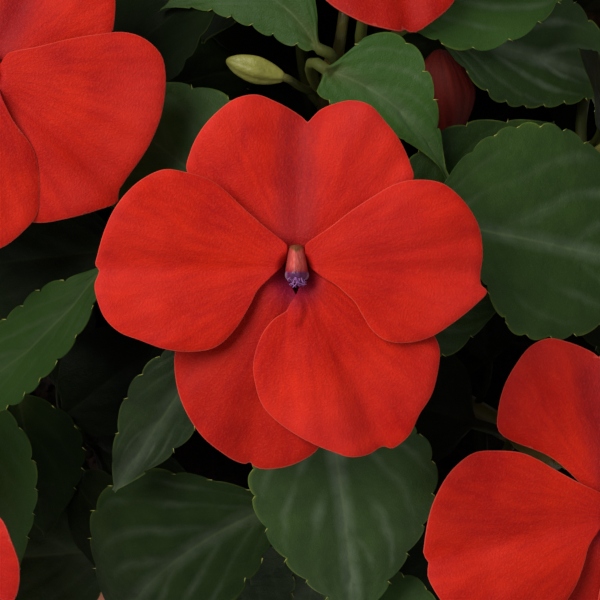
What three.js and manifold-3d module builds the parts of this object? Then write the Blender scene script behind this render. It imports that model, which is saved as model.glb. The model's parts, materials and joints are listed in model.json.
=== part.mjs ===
// A busy lizzie in a clay pot: one branching succulent stem, leaves on petioles, spurred five-petalled
// flowers on thin stalks, buds and a seed capsule, growing from a soil plug in a plain tapered pot.
// Millimetres, +Z up. The origin is the middle of the pot's underside, and the fullest flower faces -Y.
import * as THREE from "three";
import { mergeVertices } from "three/addons/utils/BufferGeometryUtils.js";
import Module from "manifold-3d";

const wasm = await Module();
wasm.setup();

// ---------------------------------------------------------------- driving dimensions
const GAP = 0.35; // clearance between pieces that touch
const POT = { height: 92, topRadius: 54, baseRadius: 37, wall: 4, floor: 5, rimHeight: 20, rimStep: 3 };
const DRAIN = { count: 4, radius: 4.5, circle: 20 };
const SOIL_TOP = POT.height - 8;
const STEM = { radius: 5.5, sunk: 15, collar: 18, branchRadius: 2.6, tipRadius: 1.6 };
const CROWN_HEIGHT = 16; // centre of the foliage dome above the soil
const DOME_RADIUS = 72; // from that centre to the throats of the open flowers
const FRONT_SLOPE = 50; // degrees above the horizon that the fullest flower faces
const SPIRAL = { first: 2.2, spacing: 2.4 }; // along a shoot, from its tip to the first stalk, then on
const LEAF = { petioleHalf: 0.85, edgeHalf: 0.22, bladeHalf: 0.35, fold: 8, curl: 0.012, widest: 0.4 };
const LEAF_DROOP = 22; // degrees that the midrib bends down from foot to tip
const PETAL_THICKNESS = 0.4;
const THROAT = { radius: 1.5, joinedRadius: 3, top: 2.3 };
const COLUMN = { halfWidth: 1.45, halfHeight: 3.1, halfDepth: 1.3, rise: 4 };
const STALK_RADIUS = 0.75;
const BUD_STALK_RADIUS = 0.6;
const SPUR_RADIUS = { foot: 0.6, tip: 0.45 };

// ---------------------------------------------------------------- colours
const clay = new THREE.MeshStandardMaterial({ color: 0xb5694a, roughness: 0.9 });
const compost = new THREE.MeshStandardMaterial({ color: 0x2e2019, roughness: 1 });
const stemGreen = new THREE.MeshStandardMaterial({ color: 0x6f7f3c, roughness: 0.5 });
const leafGreen = new THREE.MeshStandardMaterial({ color: 0x2c4a28, roughness: 0.55 });
const petalRed = new THREE.MeshStandardMaterial({ color: 0xc9241a, roughness: 0.6 });
const columnPink = new THREE.MeshStandardMaterial({ color: 0xcf5f58, roughness: 0.5 });
const sepalGreen = new THREE.MeshStandardMaterial({ color: 0x8a8c45, roughness: 0.5 });

// ---------------------------------------------------------------- frames
const { degToRad, lerp } = THREE.MathUtils;
const vec = (x, y, z) => new THREE.Vector3(x, y, z);
const CENTRE = vec(0, 0, SOIL_TOP + CROWN_HEIGHT);

// Axes on the dome's surface: N outwards, X level to the right, U up the slope. Azimuth 0 is the front.
function slopeAxes(azimuth, elevation) {
  const a = degToRad(azimuth);
  const e = degToRad(elevation);
  const N = vec(Math.sin(a) * Math.cos(e), -Math.cos(a) * Math.cos(e), Math.sin(e));
  const X = vec(Math.cos(a), Math.sin(a), 0);
  return { X, U: N.clone().cross(X), N };
}

const place = (origin, { X, U, N }, [x, u, n]) =>
  origin.clone().addScaledVector(X, x).addScaledVector(U, u).addScaledVector(N, n);

const FRONT = slopeAxes(0, FRONT_SLOPE);
const FRONT_ORIGIN = CENTRE.clone().addScaledVector(FRONT.N, DOME_RADIUS);
const front = (point) => place(FRONT_ORIGIN, FRONT, point);

// ---------------------------------------------------------------- solids
function bend(geometry, move) {
  const bare = geometry.clone();
  bare.deleteAttribute("normal");
  bare.deleteAttribute("uv");
  const merged = mergeVertices(bare, 1e-4);
  const position = merged.attributes.position;
  for (let i = 0; i < position.count; i++) {
    const p = move(position.getX(i), position.getY(i), position.getZ(i));
    position.setXYZ(i, p.x, p.y, p.z);
  }
  return merged;
}

const keep = (geometry) => bend(geometry, vec);

function solidOf(geometry) {
  const vertProperties = geometry.attributes.position.array;
  const triVerts = new Uint32Array(geometry.index.array);
  return new wasm.Manifold(new wasm.Mesh({ numProp: 3, vertProperties, triVerts }));
}

function geometryOf(solid) {
  const { vertProperties, triVerts } = solid.getMesh();
  const geometry = new THREE.BufferGeometry();
  geometry.setAttribute("position", new THREE.BufferAttribute(vertProperties, 3));
  return geometry.setIndex(new THREE.BufferAttribute(triVerts, 1));
}

const joined = (geometries) => geometryOf(geometries.map(solidOf).reduce((a, b) => a.add(b)));

// A round shoot along a curve, thinning from one radius to the other: a cylinder bent along it.
function tube(points, startRadius, endRadius, sides, steps) {
  const path = new THREE.CatmullRomCurve3(points);
  const { normals, binormals } = path.computeFrenetFrames(steps, false);
  return bend(new THREE.CylinderGeometry(1, 1, 1, sides, steps), (x, y, z) => {
    const k = Math.round((y + 0.5) * steps);
    const radius = lerp(startRadius, endRadius, k / steps);
    const centre = path.getPointAt(k / steps);
    return centre.addScaledVector(normals[k], x * radius).addScaledVector(binormals[k], -z * radius);
  });
}

const node = (name, geometry, material) => {
  const mesh = new THREE.Mesh(geometry, material);
  mesh.name = name;
  return mesh;
};

const plant = new THREE.Group();

// ---------------------------------------------------------------- pot and soil
// The clay wall is drawn as a closed profile, turned round the axis, then drained by round holes.
function potGeometry() {
  const { height, topRadius, baseRadius, wall, floor, rimHeight, rimStep } = POT;
  const bodyTop = topRadius - rimStep;
  const profile = [
    [0, 0], [baseRadius - 1, 0], [baseRadius, 1], [bodyTop - 1, height - rimHeight - 1],
    [topRadius - 1, height - rimHeight], [topRadius, height - 2], [topRadius - 1.2, height],
    [topRadius - wall + 0.8, height], [topRadius - wall, height - 1.5],
    [baseRadius - wall, floor], [0, floor],
  ].map(([r, z]) => new THREE.Vector2(r, z));
  const wallSolid = solidOf(keep(new THREE.LatheGeometry(profile, 40).rotateX(Math.PI / 2)));
  const holes = Array.from({ length: DRAIN.count }, (_, k) => {
    const turn = (2 * Math.PI * (k + 0.5)) / DRAIN.count;
    const hole = new THREE.CylinderGeometry(DRAIN.radius, DRAIN.radius, 3 * floor, 20).rotateX(Math.PI / 2);
    hole.translate(DRAIN.circle * Math.cos(turn), DRAIN.circle * Math.sin(turn), floor / 2);
    return solidOf(keep(hole));
  });
  return geometryOf(holes.reduce((pot, hole) => pot.subtract(hole), wallSolid));
}

const potInside = (z) => {
  const { height, topRadius, baseRadius, wall, floor } = POT;
  return lerp(baseRadius - wall, topRadius - wall, (z - floor) / (height - 1.5 - floor));
};

// The soil plug fills the pot and leaves a socket for the foot of the stem.
function soilGeometry() {
  const bottom = POT.floor + GAP;
  const socket = STEM.radius + GAP;
  const profile = [
    [0, bottom], [potInside(bottom) - GAP, bottom], [potInside(SOIL_TOP) - GAP - 0.2, SOIL_TOP],
    [socket, SOIL_TOP], [socket, SOIL_TOP - STEM.sunk - GAP], [0, SOIL_TOP - STEM.sunk - GAP],
  ].map(([r, z]) => new THREE.Vector2(r, z));
  return keep(new THREE.LatheGeometry(profile, 36).rotateX(Math.PI / 2));
}

plant.add(node("pot", potGeometry(), clay), node("soil", soilGeometry(), compost));

// ---------------------------------------------------------------- shoots
// Tips of the shoots: those of the front slope in its own axes from the fullest flower's throat, the
// others by azimuth and elevation round the dome's centre.
const SHOOTS = {
  front: { tip: [0, -4, -27] },
  top: { tip: [6, 31, -32] },
  right_low: { tip: [39, -28, -36] },
  left: { tip: [-37, 18, -33] },
  left_low: { tip: [-45, -30, -44] },
  right: { tip: [45, 18, -42] },
  back_left: { azimuth: -118, elevation: 24, reach: 47 },
  back_right: { azimuth: 122, elevation: 28, reach: 47 },
  back: { azimuth: 178, elevation: 48, reach: 44 },
};
for (const shoot of Object.values(SHOOTS)) {
  if (shoot.tip) shoot.end = front(shoot.tip);
  else shoot.end = CENTRE.clone().addScaledVector(slopeAxes(shoot.azimuth, shoot.elevation).N, shoot.reach);
}

// Each branch leaves the collar of the main stem and curves outwards and up to its tip.
function branchPath(end) {
  const foot = vec(0, 0, SOIL_TOP + STEM.collar * 0.45);
  const elbow = vec(end.x * 0.42, end.y * 0.42, lerp(foot.z, end.z, 0.38));
  return [foot, elbow, end];
}

function stemGeometry() {
  const foot = vec(0, 0, SOIL_TOP - STEM.sunk);
  const collar = tube([foot, vec(0, 0, SOIL_TOP + STEM.collar)], STEM.radius, STEM.radius * 0.8, 12, 2);
  const branches = Object.values(SHOOTS).map(({ end }) =>
    tube(branchPath(end), STEM.branchRadius, STEM.tipRadius, 7, 6),
  );
  return joined([collar, ...branches]);
}

plant.add(node("stem", stemGeometry(), stemGreen));

// ---------------------------------------------------------------- leaves
// Share of the full width along the blade: ovate, with a rounded foot, and drawn out to a point.
function bladeShare(t, widest) {
  const power = 1.875;
  return (t / widest) ** (power * widest) * ((1 - t) / (1 - widest)) ** (power * (1 - widest));
}

const BLADE_STATIONS = [0, 0.11, 0.3, 0.53, 0.77, 1];
const PETIOLE_STEPS = 2;
const LEAF_STEPS = PETIOLE_STEPS + BLADE_STATIONS.length - 1;

// One leaf: a box bent along the petiole and the midrib. axes and base place the foot of the blade,
// heading turns it in the slope, tilt lifts its tip off the slope and roll turns it round the midrib.
function leafGeometry(leaf) {
  const { origin, axes, base, heading, tilt, length, width, stalk } = leaf;
  const { roll = 0, droop = LEAF_DROOP, sweep = 0, halves = [1, 1], wedge = 0, widest = LEAF.widest } = leaf;
  const a = degToRad(heading);
  const e = degToRad(tilt);
  const along = axes.X.clone().multiplyScalar(Math.cos(a)).addScaledVector(axes.U, Math.sin(a));
  const tipward = along.clone().multiplyScalar(Math.cos(e)).addScaledVector(axes.N, Math.sin(e));
  const up = axes.N.clone().multiplyScalar(Math.cos(e)).addScaledVector(along, -Math.sin(e));
  up.applyAxisAngle(tipward, degToRad(roll));
  const side = tipward.clone().cross(up);
  const foot = place(origin, axes, base);
  const sag = degToRad(droop);
  const reach = foot.distanceTo(stalk.start);
  const petiole = new THREE.CubicBezierCurve3(
    stalk.start,
    stalk.start.clone().addScaledVector(stalk.direction, reach * 0.35),
    foot.clone().addScaledVector(tipward, -reach * 0.4),
    foot,
  );
  return bend(new THREE.BoxGeometry(2, 1, 2, 4, LEAF_STEPS, 1), (x, y, z) => {
    const k = Math.round((y + 0.5) * LEAF_STEPS);
    if (k < PETIOLE_STEPS) {
      const centre = petiole.getPoint(k / PETIOLE_STEPS);
      const forward = petiole.getTangent(k / PETIOLE_STEPS);
      const normal = side.clone().cross(forward).normalize();
      const across = forward.clone().cross(normal);
      const half = LEAF.petioleHalf;
      return centre.addScaledVector(across, x * half).addScaledVector(normal, z * half);
    }
    const t = BLADE_STATIONS[k - PETIOLE_STEPS];
    const turn = sag * t;
    const travel = (length * Math.sin(turn)) / sag;
    const drop = (length * (1 - Math.cos(turn))) / sag;
    const normal = up.clone().multiplyScalar(Math.cos(turn)).addScaledVector(tipward, Math.sin(turn));
    const rising = Math.min(t / 0.4, 1);
    const narrowed = wedge * x > 0 ? (rising * (2 - rising)) ** Math.abs(wedge) : 1;
    const ownHalf = halves[x < 0 ? 0 : 1] * narrowed * (width / 2);
    const half = Math.max(LEAF.petioleHalf * (1 - 0.6 * t), ownHalf * bladeShare(t, widest));
    const out = Math.abs(x) * half;
    const lift = out * Math.tan(degToRad(LEAF.fold)) - LEAF.curl * out * out;
    const thick = t === 0 ? LEAF.petioleHalf : lerp(LEAF.bladeHalf, LEAF.edgeHalf, Math.abs(x));
    const midrib = foot.clone().addScaledVector(tipward, travel).addScaledVector(up, -drop);
    midrib.addScaledVector(side, sweep * 4 * t * (1 - t));
    return midrib.addScaledVector(side, x * half).addScaledVector(normal, lift + z * thick);
  });
}

// A flower's stalk goes on from the very end of its shoot.
function endStalk(shoot) {
  const direction = new THREE.CatmullRomCurve3(branchPath(shoot.end)).getTangentAt(1);
  return { start: shoot.end.clone().addScaledVector(direction, GAP), direction };
}

// Other stalks leave the shoot's side that faces their target: spot 0 is the nearest to the tip.
function sideStalk(shoot, spot, target) {
  const path = new THREE.CatmullRomCurve3(branchPath(shoot.end));
  const share = 1 - (SPIRAL.first + SPIRAL.spacing * spot) / path.getLength();
  const centre = path.getPointAt(share);
  const forward = path.getTangentAt(share);
  const direction = target.clone().sub(centre);
  direction.addScaledVector(forward, -direction.dot(forward)).normalize();
  const radius = lerp(STEM.branchRadius, STEM.tipRadius, share);
  return { start: centre.addScaledVector(direction, radius + GAP), direction };
}

// Leaves of the front slope by shoot: place in the spiral below the tip, foot of the blade (right, up and
// outwards from the fullest flower's throat), heading, tilt, length, width, and where it matters the roll
// about the midrib and the droop of the tip.
const FRONT_LEAVES = {
  front: {
    down: [1, [4.2, -18, -10], -83, -20, 41, 28],
    right: [2, [18, 7, -10], -10, -14, 44, 32, -8],
    left: [3, [-25.4, 3, -12], 214, -10, 37, 22, 36],
    left_low: [0, [-11.5, -10, -10], 236, -14, 29.3, 16],
    under: [5, [-2.2, -33.5, -21], 220, -12, 40, 28, 0, 44],
    right_low: [4, [10, -6, -15], 4, -6, 21, 15.5],
    up_left: [6, [-6, 7, -15], 142, -4, 31, 24],
    up_right: [7, [14.5, 6.3, -19], 33, -6, 29, 19],
    far_left: [8, [-25, 3, -21], 186, -16, 34, 21],
  },
  top: {
    left: [0, [3.2, 31.6, -19], 165, -6, 25, 18],
    down: [1, [4.3, 28.5, -18], -42, 12, 23.6, 18.2, 0, 26],
    right: [2, [13, 38.8, -21.6], 12, -12, 34, 22],
    far_right: [3, [18.5, 35.2, -26], -12, -20, 38, 24],
    back: [4, [0, 41, -31], 104, -42, 36, 24],
  },
  right_low: {
    up: [3, [21.5, -54.3, -29], 160, -8, 20, 15],
    down: [1, [44, -40, -32], -60, -30, 38, 25],
    right: [2, [51, -24, -32], -2, -46, 36, 25],
  },
  left: {
    up: [1, [-34, 29, -34], 88, -34, 26, 22],
    out: [2, [-49, 19, -30], 172, -42, 36, 24],
  },
  left_low: {
    up: [0, [-49.5, -17, -29], -74, -10, 31, 15.5],
    under: [2, [-41.5, -18, -38], -81, -8, 24, 17],
    out: [1, [-56, -32, -42], 190, -44, 34, 23],
  },
  right: {
    up: [0, [44, 28, -45], 70, -46, 24, 22],
    out: [1, [56, 14, -42], -22, -44, 36, 24],
    under: [2, [47, 6, -40], -70, -16, 28, 19],
  },
};

// Few of them are even: the midrib arches sideways by the sweep, the two halves have shares of the width
// of their own, one half runs out narrowly towards the stalk, or the blade is widest nearer its foot.
const UNEVEN_LEAVES = {
  front_down: { sweep: -0.6, halves: [1, 0.93], widest: 0.33 },
  front_right: { halves: [1.08, 0.88], wedge: 2.4 },
  front_left: { sweep: -4.8, halves: [0.62, 0.68], wedge: 1.2, widest: 0.54 },
  front_left_low: { halves: [0.62, 0.8] },
  front_under: { sweep: 3, halves: [0.72, 1.06], widest: 0.48 },
  front_up_right: { halves: [0.85, 1] },
  left_low_under: { halves: [1, 0.55] },
  top_left: { sweep: 6, halves: [0.6, 1] },
  top_down: { sweep: -2.6, halves: [1, 0.56], widest: 0.22 },
  top_right: { halves: [1, 0.9] },
  top_far_right: { halves: [1, 0.68], wedge: 1.1 },
};

for (const [shootName, leaves] of Object.entries(FRONT_LEAVES)) {
  for (const [name, row] of Object.entries(leaves)) {
    const [spot, base, heading, tilt, length, width, roll, droop] = row;
    const stalk = sideStalk(SHOOTS[shootName], spot, front(base));
    const uneven = UNEVEN_LEAVES[`${shootName}_${name}`];
    const shape = { base, heading, tilt, length, width, roll, droop, stalk, ...uneven };
    const leaf = leafGeometry({ origin: FRONT_ORIGIN, axes: FRONT, ...shape });
    plant.add(node(`leaf_${shootName}_${name}`, leaf, leafGreen));
  }
}

// Round the back the leaves spread about the tip of each shoot, in that shoot's own axes.
const BACK_ROSETTES = {
  back_left: { rise: 6, blades: [[75, -20], [170, -20], [262, 12], [345, -12]] },
  back_right: { rise: 8, blades: [[20, -20], [100, -26], [195, -12], [290, 10]] },
  back: { rise: 13, blades: [[70, -20], [140, -20], [235, -20], [335, -20]] },
};
const ROSETTE = { reach: 9, length: 36, width: 25 };
for (const [shootName, { rise, blades }] of Object.entries(BACK_ROSETTES)) {
  const shoot = SHOOTS[shootName];
  const axes = slopeAxes(shoot.azimuth, shoot.elevation);
  blades.forEach(([heading, tilt], k) => {
    const a = degToRad(heading);
    const base = [ROSETTE.reach * Math.cos(a), ROSETTE.reach * Math.sin(a), rise];
    const stalk = sideStalk(shoot, k, place(shoot.end, axes, base));
    const { length, width } = ROSETTE;
    const leaf = leafGeometry({ origin: shoot.end, axes, base, heading, tilt, length, width, stalk });
    plant.add(node(`leaf_${shootName}_${k + 1}`, leaf, leafGreen));
  });
}

// ---------------------------------------------------------------- flowers
// Petal outlines in millimetres from the throat, right then up, seen from the front, the angle of each
// petal's middle line, and the height of its underside: the two laterals lie over the lower pair, and the
// notched upper one is behind.
const PETALS = {
  upper: {
    layer: -0.8,
    middle: 90,
    outline: [
      [-1.5, 2.4], [-8, 7.4], [-15, 13.4], [-14, 18], [-11, 21.6], [-6.5, 24], [-2.5, 23], [1.6, 20.6],
      [4.5, 22.5], [8, 23.2], [12, 20.6], [15.5, 15.5], [16, 11.8], [8, 6.6], [1.5, 2.4],
    ],
  },
  left: {
    layer: 1.6,
    middle: 180,
    outline: [
      [-2, -0.8], [-1.9, 2.8], [-6, 7.2], [-11.8, 12], [-17, 13.6], [-22.8, 10.7], [-26.2, 5.2],
      [-27.6, 0.4], [-27.4, -3.8], [-24.2, -8.8], [-18, -11.1], [-12.5, -11.2], [-8.4, -8.5], [-5.2, -3.4],
    ],
  },
  right: {
    layer: 1.6,
    middle: 0,
    outline: [
      [2, -0.6], [1.9, 3.2], [7.4, 7.7], [13.6, 11.6], [19.8, 11.7], [23.9, 8], [25.6, 2.5],
      [26.2, -3], [21.2, -7.8], [15, -10.3], [10.4, -8.5], [8, -4.8], [4.5, -2.2],
    ],
  },
  lower_right: {
    layer: 0.8,
    middle: -62,
    outline: [
      [0.1, -2.3], [-1.5, -5.4], [-5.2, -10.4], [-5.9, -14.5], [-4, -19.8], [0.5, -23.5], [7.4, -26],
      [13.5, -24.4], [17, -20.4], [19.6, -14], [19, -9.4], [12, -4.8], [3, -1.9],
    ],
  },
  lower_left: {
    layer: 0,
    middle: -106,
    outline: [
      [-0.8, -2.4], [-3.6, -3], [-10, -6.4], [-15.5, -9.6], [-16.8, -14], [-14.8, -20.6], [-10.4, -25.4],
      [-6.6, -27.3], [-2, -27.6], [3, -25], [5.5, -17], [3.5, -8], [0.8, -3.2],
    ],
  },
};

// A petal may be turned about the throat, and drawn longer or wider along its own middle line.
function petalGeometry({ layer, middle, outline }, samples, { turn = 0, long = 1, wide = 1, lift = 0 } = {}) {
  const from = degToRad(-middle);
  const to = degToRad(middle + turn);
  const reshape = new THREE.Matrix4().makeRotationZ(to)
    .multiply(new THREE.Matrix4().makeScale(long, wide, 1))
    .multiply(new THREE.Matrix4().makeRotationZ(from));
  const corners = outline.map(([x, u]) => vec(x, u, 0).applyMatrix4(reshape));
  const curve = new THREE.CatmullRomCurve3(corners, true);
  const edge = curve.getSpacedPoints(samples).slice(1).map(({ x, y }) => new THREE.Vector2(x, y));
  const plate = { depth: PETAL_THICKNESS, bevelEnabled: false };
  return keep(new THREE.ExtrudeGeometry(new THREE.Shape(edge), plate).translate(0, 0, layer + lift));
}

// The funnel of the lower sepal, with the throat that carries the petals, turned round the flower's axis.
function calyxGeometry(throatRadius, sides) {
  const profile = [
    [0, -9], [SPUR_RADIUS.foot, -9], [1.2, -6.4], [3.3, -2.4], [3.3, -1.3],
    [throatRadius, -1.3], [throatRadius, THROAT.top], [0, THROAT.top],
  ].map(([r, n]) => new THREE.Vector2(r, n));
  return keep(new THREE.LatheGeometry(profile, sides).rotateX(Math.PI / 2));
}

// The long thin spur hangs from the foot of the funnel and curls forward.
const SPUR = [vec(0, 0, -8.4), vec(0, -3, -12), vec(0, -9, -14), vec(0, -16, -13.4)];
const spurGeometry = (turn, sides, steps) => {
  const swing = SPUR.map((point) => point.clone().applyAxisAngle(vec(0, 0, 1), degToRad(turn)));
  return tube(swing, SPUR_RADIUS.foot, SPUR_RADIUS.tip, sides, steps);
};

// Matrix that stands a flower in the world: throat at the origin, facing out along N.
function standing(origin, { X, U, N }, turn, size) {
  return new THREE.Matrix4().makeTranslation(origin)
    .multiply(new THREE.Matrix4().makeBasis(X, U, N))
    .multiply(new THREE.Matrix4().makeRotationZ(degToRad(turn)))
    .multiply(new THREE.Matrix4().makeScale(size, size, size));
}

// The stalk of a flower hooks over and meets the funnel from above, ending this far from its axis.
function pedicelGeometry(stand, shoot, offAxis, steps) {
  const hook = vec(0, offAxis + 3.4, -6.6).applyMatrix4(stand);
  const end = vec(0, offAxis, -4.9).applyMatrix4(stand);
  const { start, direction } = endStalk(shoot);
  const lead = start.clone().addScaledVector(direction, start.distanceTo(hook) * 0.3);
  return tube([start, lead, hook, end], STALK_RADIUS, STALK_RADIUS, 6, steps);
}

// The fullest flower is built petal by petal.
const fullest = standing(FRONT_ORIGIN, FRONT, 0, 1);
for (const [name, petal] of Object.entries(PETALS)) {
  plant.add(node(`flower_petal_${name}`, petalGeometry(petal, 30).applyMatrix4(fullest), petalRed));
}
const calyx = joined([calyxGeometry(THROAT.radius, 12), spurGeometry(45, 6, 6)]);
const column = new THREE.SphereGeometry(1, 10, 8)
  .scale(COLUMN.halfWidth, COLUMN.halfHeight, COLUMN.halfDepth)
  .translate(0, 0, COLUMN.rise);
plant.add(
  node("flower_calyx", calyx.applyMatrix4(fullest), petalRed),
  node("flower_column", keep(column).applyMatrix4(fullest), columnPink),
  node("flower_pedicel", pedicelGeometry(fullest, SHOOTS.front, 2.9, 6), stemGreen),
);

// The other open flowers are one piece each: the shoot that carries them, the way they face, the turn of
// the petals and of the spur, their size, where they don't lie on the dome the throat's own place, and how
// single petals differ from the common outline.
const OPEN_FLOWERS = {
  top_left: {
    shoot: "left", faces: [-6, 52], turn: -24, spur: -30, size: 1, at: [-43.8, 27.2, -11],
    petals: {
      upper: { turn: 6, wide: 0.87 },
      right: { turn: -4, long: 0.97, wide: 1.38 },
      lower_right: { turn: -10, long: 0.96, wide: 0.9, lift: 1.5 },
    },
  },
  top: { shoot: "top", faces: [5, 76], turn: 18, spur: 120, size: 0.94, at: [11.5, 59.2, -27] },
  right_low: {
    shoot: "right_low", faces: [6, 46], turn: 8, spur: 60, size: 1, at: [45.9, -34.9, -14],
    petals: { left: { long: 1.03 }, upper: { turn: -2, long: 1.1, wide: 0.97 } },
  },
  left_low: { shoot: "left_low", faces: [-42, 34], turn: 4, spur: 0, size: 0.94, at: [-59.8, -37, -33] },
  right: { shoot: "right", faces: [116, 28], turn: 0, spur: 0, size: 0.92 },
  left: { shoot: "back_left", faces: [-118, 36], turn: 12, spur: 0, size: 0.94 },
  back_right: { shoot: "back_right", faces: [152, 14], turn: -8, spur: 0, size: 0.9 },
  back: { shoot: "back", faces: [178, 46], turn: 25, spur: 0, size: 0.94 },
};

function flowerGeometry(stand, shoot, spurTurn, own = {}) {
  const petals = Object.entries(PETALS).map(([name, petal]) => petalGeometry(petal, 17, own[name]));
  const nectary = [calyxGeometry(THROAT.joinedRadius, 8), spurGeometry(spurTurn, 5, 4)];
  const head = joined([...petals, ...nectary]).applyMatrix4(stand);
  return joined([head, pedicelGeometry(stand, shoot, 0.6, 4)]);
}

for (const [name, { shoot, faces, turn, spur, size, at, petals }] of Object.entries(OPEN_FLOWERS)) {
  const axes = slopeAxes(...faces);
  const throat = at ? front(at) : place(CENTRE, axes, [0, 0, DOME_RADIUS]);
  const flower = flowerGeometry(standing(throat, axes, turn, size), SHOOTS[shoot], spur, petals);
  plant.add(node(`flower_${name}`, flower, petalRed));
}

// ---------------------------------------------------------------- buds and seed capsule
// Each is a closed spindle on its own stalk, from the foot to the tip on the front slope.
const SPINDLES = {
  seed_capsule: { shoot: "top", spot: 0.6, from: [-1.5, 27.8, -25], to: [-10.2, 30.4, -25], radius: 2.3 },
  flower_bud: { shoot: "right", spot: 3, from: [22.5, 19.5, -35], to: [21, 32.5, -31.5], radius: 4.3 },
  flower_bud_small: { shoot: "left", spot: 4, from: [-24, 24, -33], to: [-21, 31, -30], radius: 2.2 },
};
// Radius and height along the spindle, as shares of its own.
const SPINDLE_PROFILE = [[0, 0], [0.4, 0.06], [0.85, 0.3], [1, 0.5], [0.75, 0.78], [0.25, 0.97], [0, 1]];
for (const [name, { shoot, spot, from, to, radius }] of Object.entries(SPINDLES)) {
  const foot = front(from);
  const tip = front(to);
  const length = foot.distanceTo(tip);
  const profile = SPINDLE_PROFILE.map(([r, t]) => new THREE.Vector2(r * radius, t * length));
  const aim = new THREE.Quaternion().setFromUnitVectors(vec(0, 1, 0), tip.clone().sub(foot).normalize());
  const spindle = new THREE.LatheGeometry(profile, 8).applyQuaternion(aim).translate(foot.x, foot.y, foot.z);
  const { start, direction } = sideStalk(SHOOTS[shoot], spot, foot);
  const lead = start.clone().addScaledVector(direction, start.distanceTo(foot) * 0.3);
  const inside = foot.clone().lerp(tip, 0.15);
  const stalk = tube([start, lead, foot, inside], BUD_STALK_RADIUS, BUD_STALK_RADIUS, 5, 4);
  const material = name === "flower_bud" ? petalRed : sepalGreen;
  plant.add(node(name, joined([keep(spindle), stalk]), material));
}

export default plant;
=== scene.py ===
# %% [markdown]
# # A busy lizzie in a clay pot
#
# A busy lizzie is a low, bushy plant with juicy stems. Each open flower is a flat face of five
# velvety petals with a long thin spur behind it, and the leaves are dark, satin and scalloped.
# This lesson dresses the plant's imported model: every leaf, petal and stalk is made again with its
# real surface, in the same place, and the plain solids underneath are hidden.
#
# The model comes first, because everything is measured in its frame: metres, +Z up, with the
# origin in the middle of the pot's underside. The box of the plain model is kept: the leaves
# drawn inside the plant must stay within it.

# %% The imported frame
import json
import math

import bpy
import numpy as np
from mathutils import Matrix, Vector, noise
from mathutils.bvhtree import BVHTree
from mathutils.geometry import delaunay_2d_cdt

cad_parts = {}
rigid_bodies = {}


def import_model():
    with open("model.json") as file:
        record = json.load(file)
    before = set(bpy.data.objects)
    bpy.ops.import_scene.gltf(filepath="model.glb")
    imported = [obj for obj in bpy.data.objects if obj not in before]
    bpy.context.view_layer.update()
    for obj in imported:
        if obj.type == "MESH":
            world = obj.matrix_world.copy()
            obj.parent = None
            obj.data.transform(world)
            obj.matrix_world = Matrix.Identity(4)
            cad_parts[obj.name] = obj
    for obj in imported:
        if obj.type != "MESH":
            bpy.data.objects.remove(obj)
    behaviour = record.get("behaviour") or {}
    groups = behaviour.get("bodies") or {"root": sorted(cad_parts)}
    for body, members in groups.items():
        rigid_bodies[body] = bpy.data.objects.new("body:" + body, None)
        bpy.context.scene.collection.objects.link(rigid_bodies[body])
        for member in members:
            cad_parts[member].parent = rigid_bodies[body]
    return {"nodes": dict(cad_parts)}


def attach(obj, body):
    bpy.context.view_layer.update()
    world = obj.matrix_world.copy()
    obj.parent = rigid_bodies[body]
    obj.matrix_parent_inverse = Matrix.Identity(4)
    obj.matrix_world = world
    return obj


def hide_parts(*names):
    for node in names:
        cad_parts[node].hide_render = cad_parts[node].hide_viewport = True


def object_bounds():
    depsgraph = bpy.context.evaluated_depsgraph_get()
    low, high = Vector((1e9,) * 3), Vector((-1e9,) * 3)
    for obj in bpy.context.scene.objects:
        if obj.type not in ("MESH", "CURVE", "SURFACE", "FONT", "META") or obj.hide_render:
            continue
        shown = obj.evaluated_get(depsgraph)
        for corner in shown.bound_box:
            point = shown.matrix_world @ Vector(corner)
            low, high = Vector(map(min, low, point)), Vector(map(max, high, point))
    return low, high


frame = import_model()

cad_box = [list(corner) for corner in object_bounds()]
print("plain model's box:", cad_box)

# %% [markdown]
# ## The plant's own axes
#
# The foliage is a dome over the soil, and the fullest flower sits on its front slope. A point on
# the slope is given by how far it lies to the right, up the slope and outwards from that flower's
# throat. All lengths are worked out in millimetres and become metres only when a mesh is made.

# %% Axes on the dome
MM = 0.001
SOIL_TOP = 84.0
DOME_CENTRE = np.array([0.0, 0.0, 100.0])
DOME_RADIUS = 72.0


def slope_axes(azimuth, elevation):
    """Rows: right, up the slope, outwards. Azimuth 0 is the front."""
    a, e = math.radians(azimuth), math.radians(elevation)
    out = np.array([math.sin(a) * math.cos(e), -math.cos(a) * math.cos(e), math.sin(e)])
    right = np.array([math.cos(a), math.sin(a), 0.0])
    return np.array([right, np.cross(out, right), out])


FRONT = slope_axes(0, 50)
THROAT = DOME_CENTRE + DOME_RADIUS * FRONT[2]


def front(point):
    """The place of a point on the front slope, measured from the fullest flower's throat."""
    return THROAT + np.asarray(point, float) @ FRONT


def unit(v):
    return v / np.linalg.norm(v)


print("throat of the fullest flower:", THROAT.round(1))

# %% [markdown]
# ## Camera, light and floor
#
# The flower faces the camera, which looks down the slope's own outward axis from 45 cm away, as a
# close portrait does. The light is that of a bright overcast day: a broad soft panel overhead, a
# weaker one from the front, and an even grey surround. The floor is plain and pale.

# %% Camera
PORTRAIT_WIDTH = 82.44  # millimetres across the frame at the throat
PORTRAIT_DISTANCE = 450.0
aim = front([0.55, -4.4, 0.0])

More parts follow.
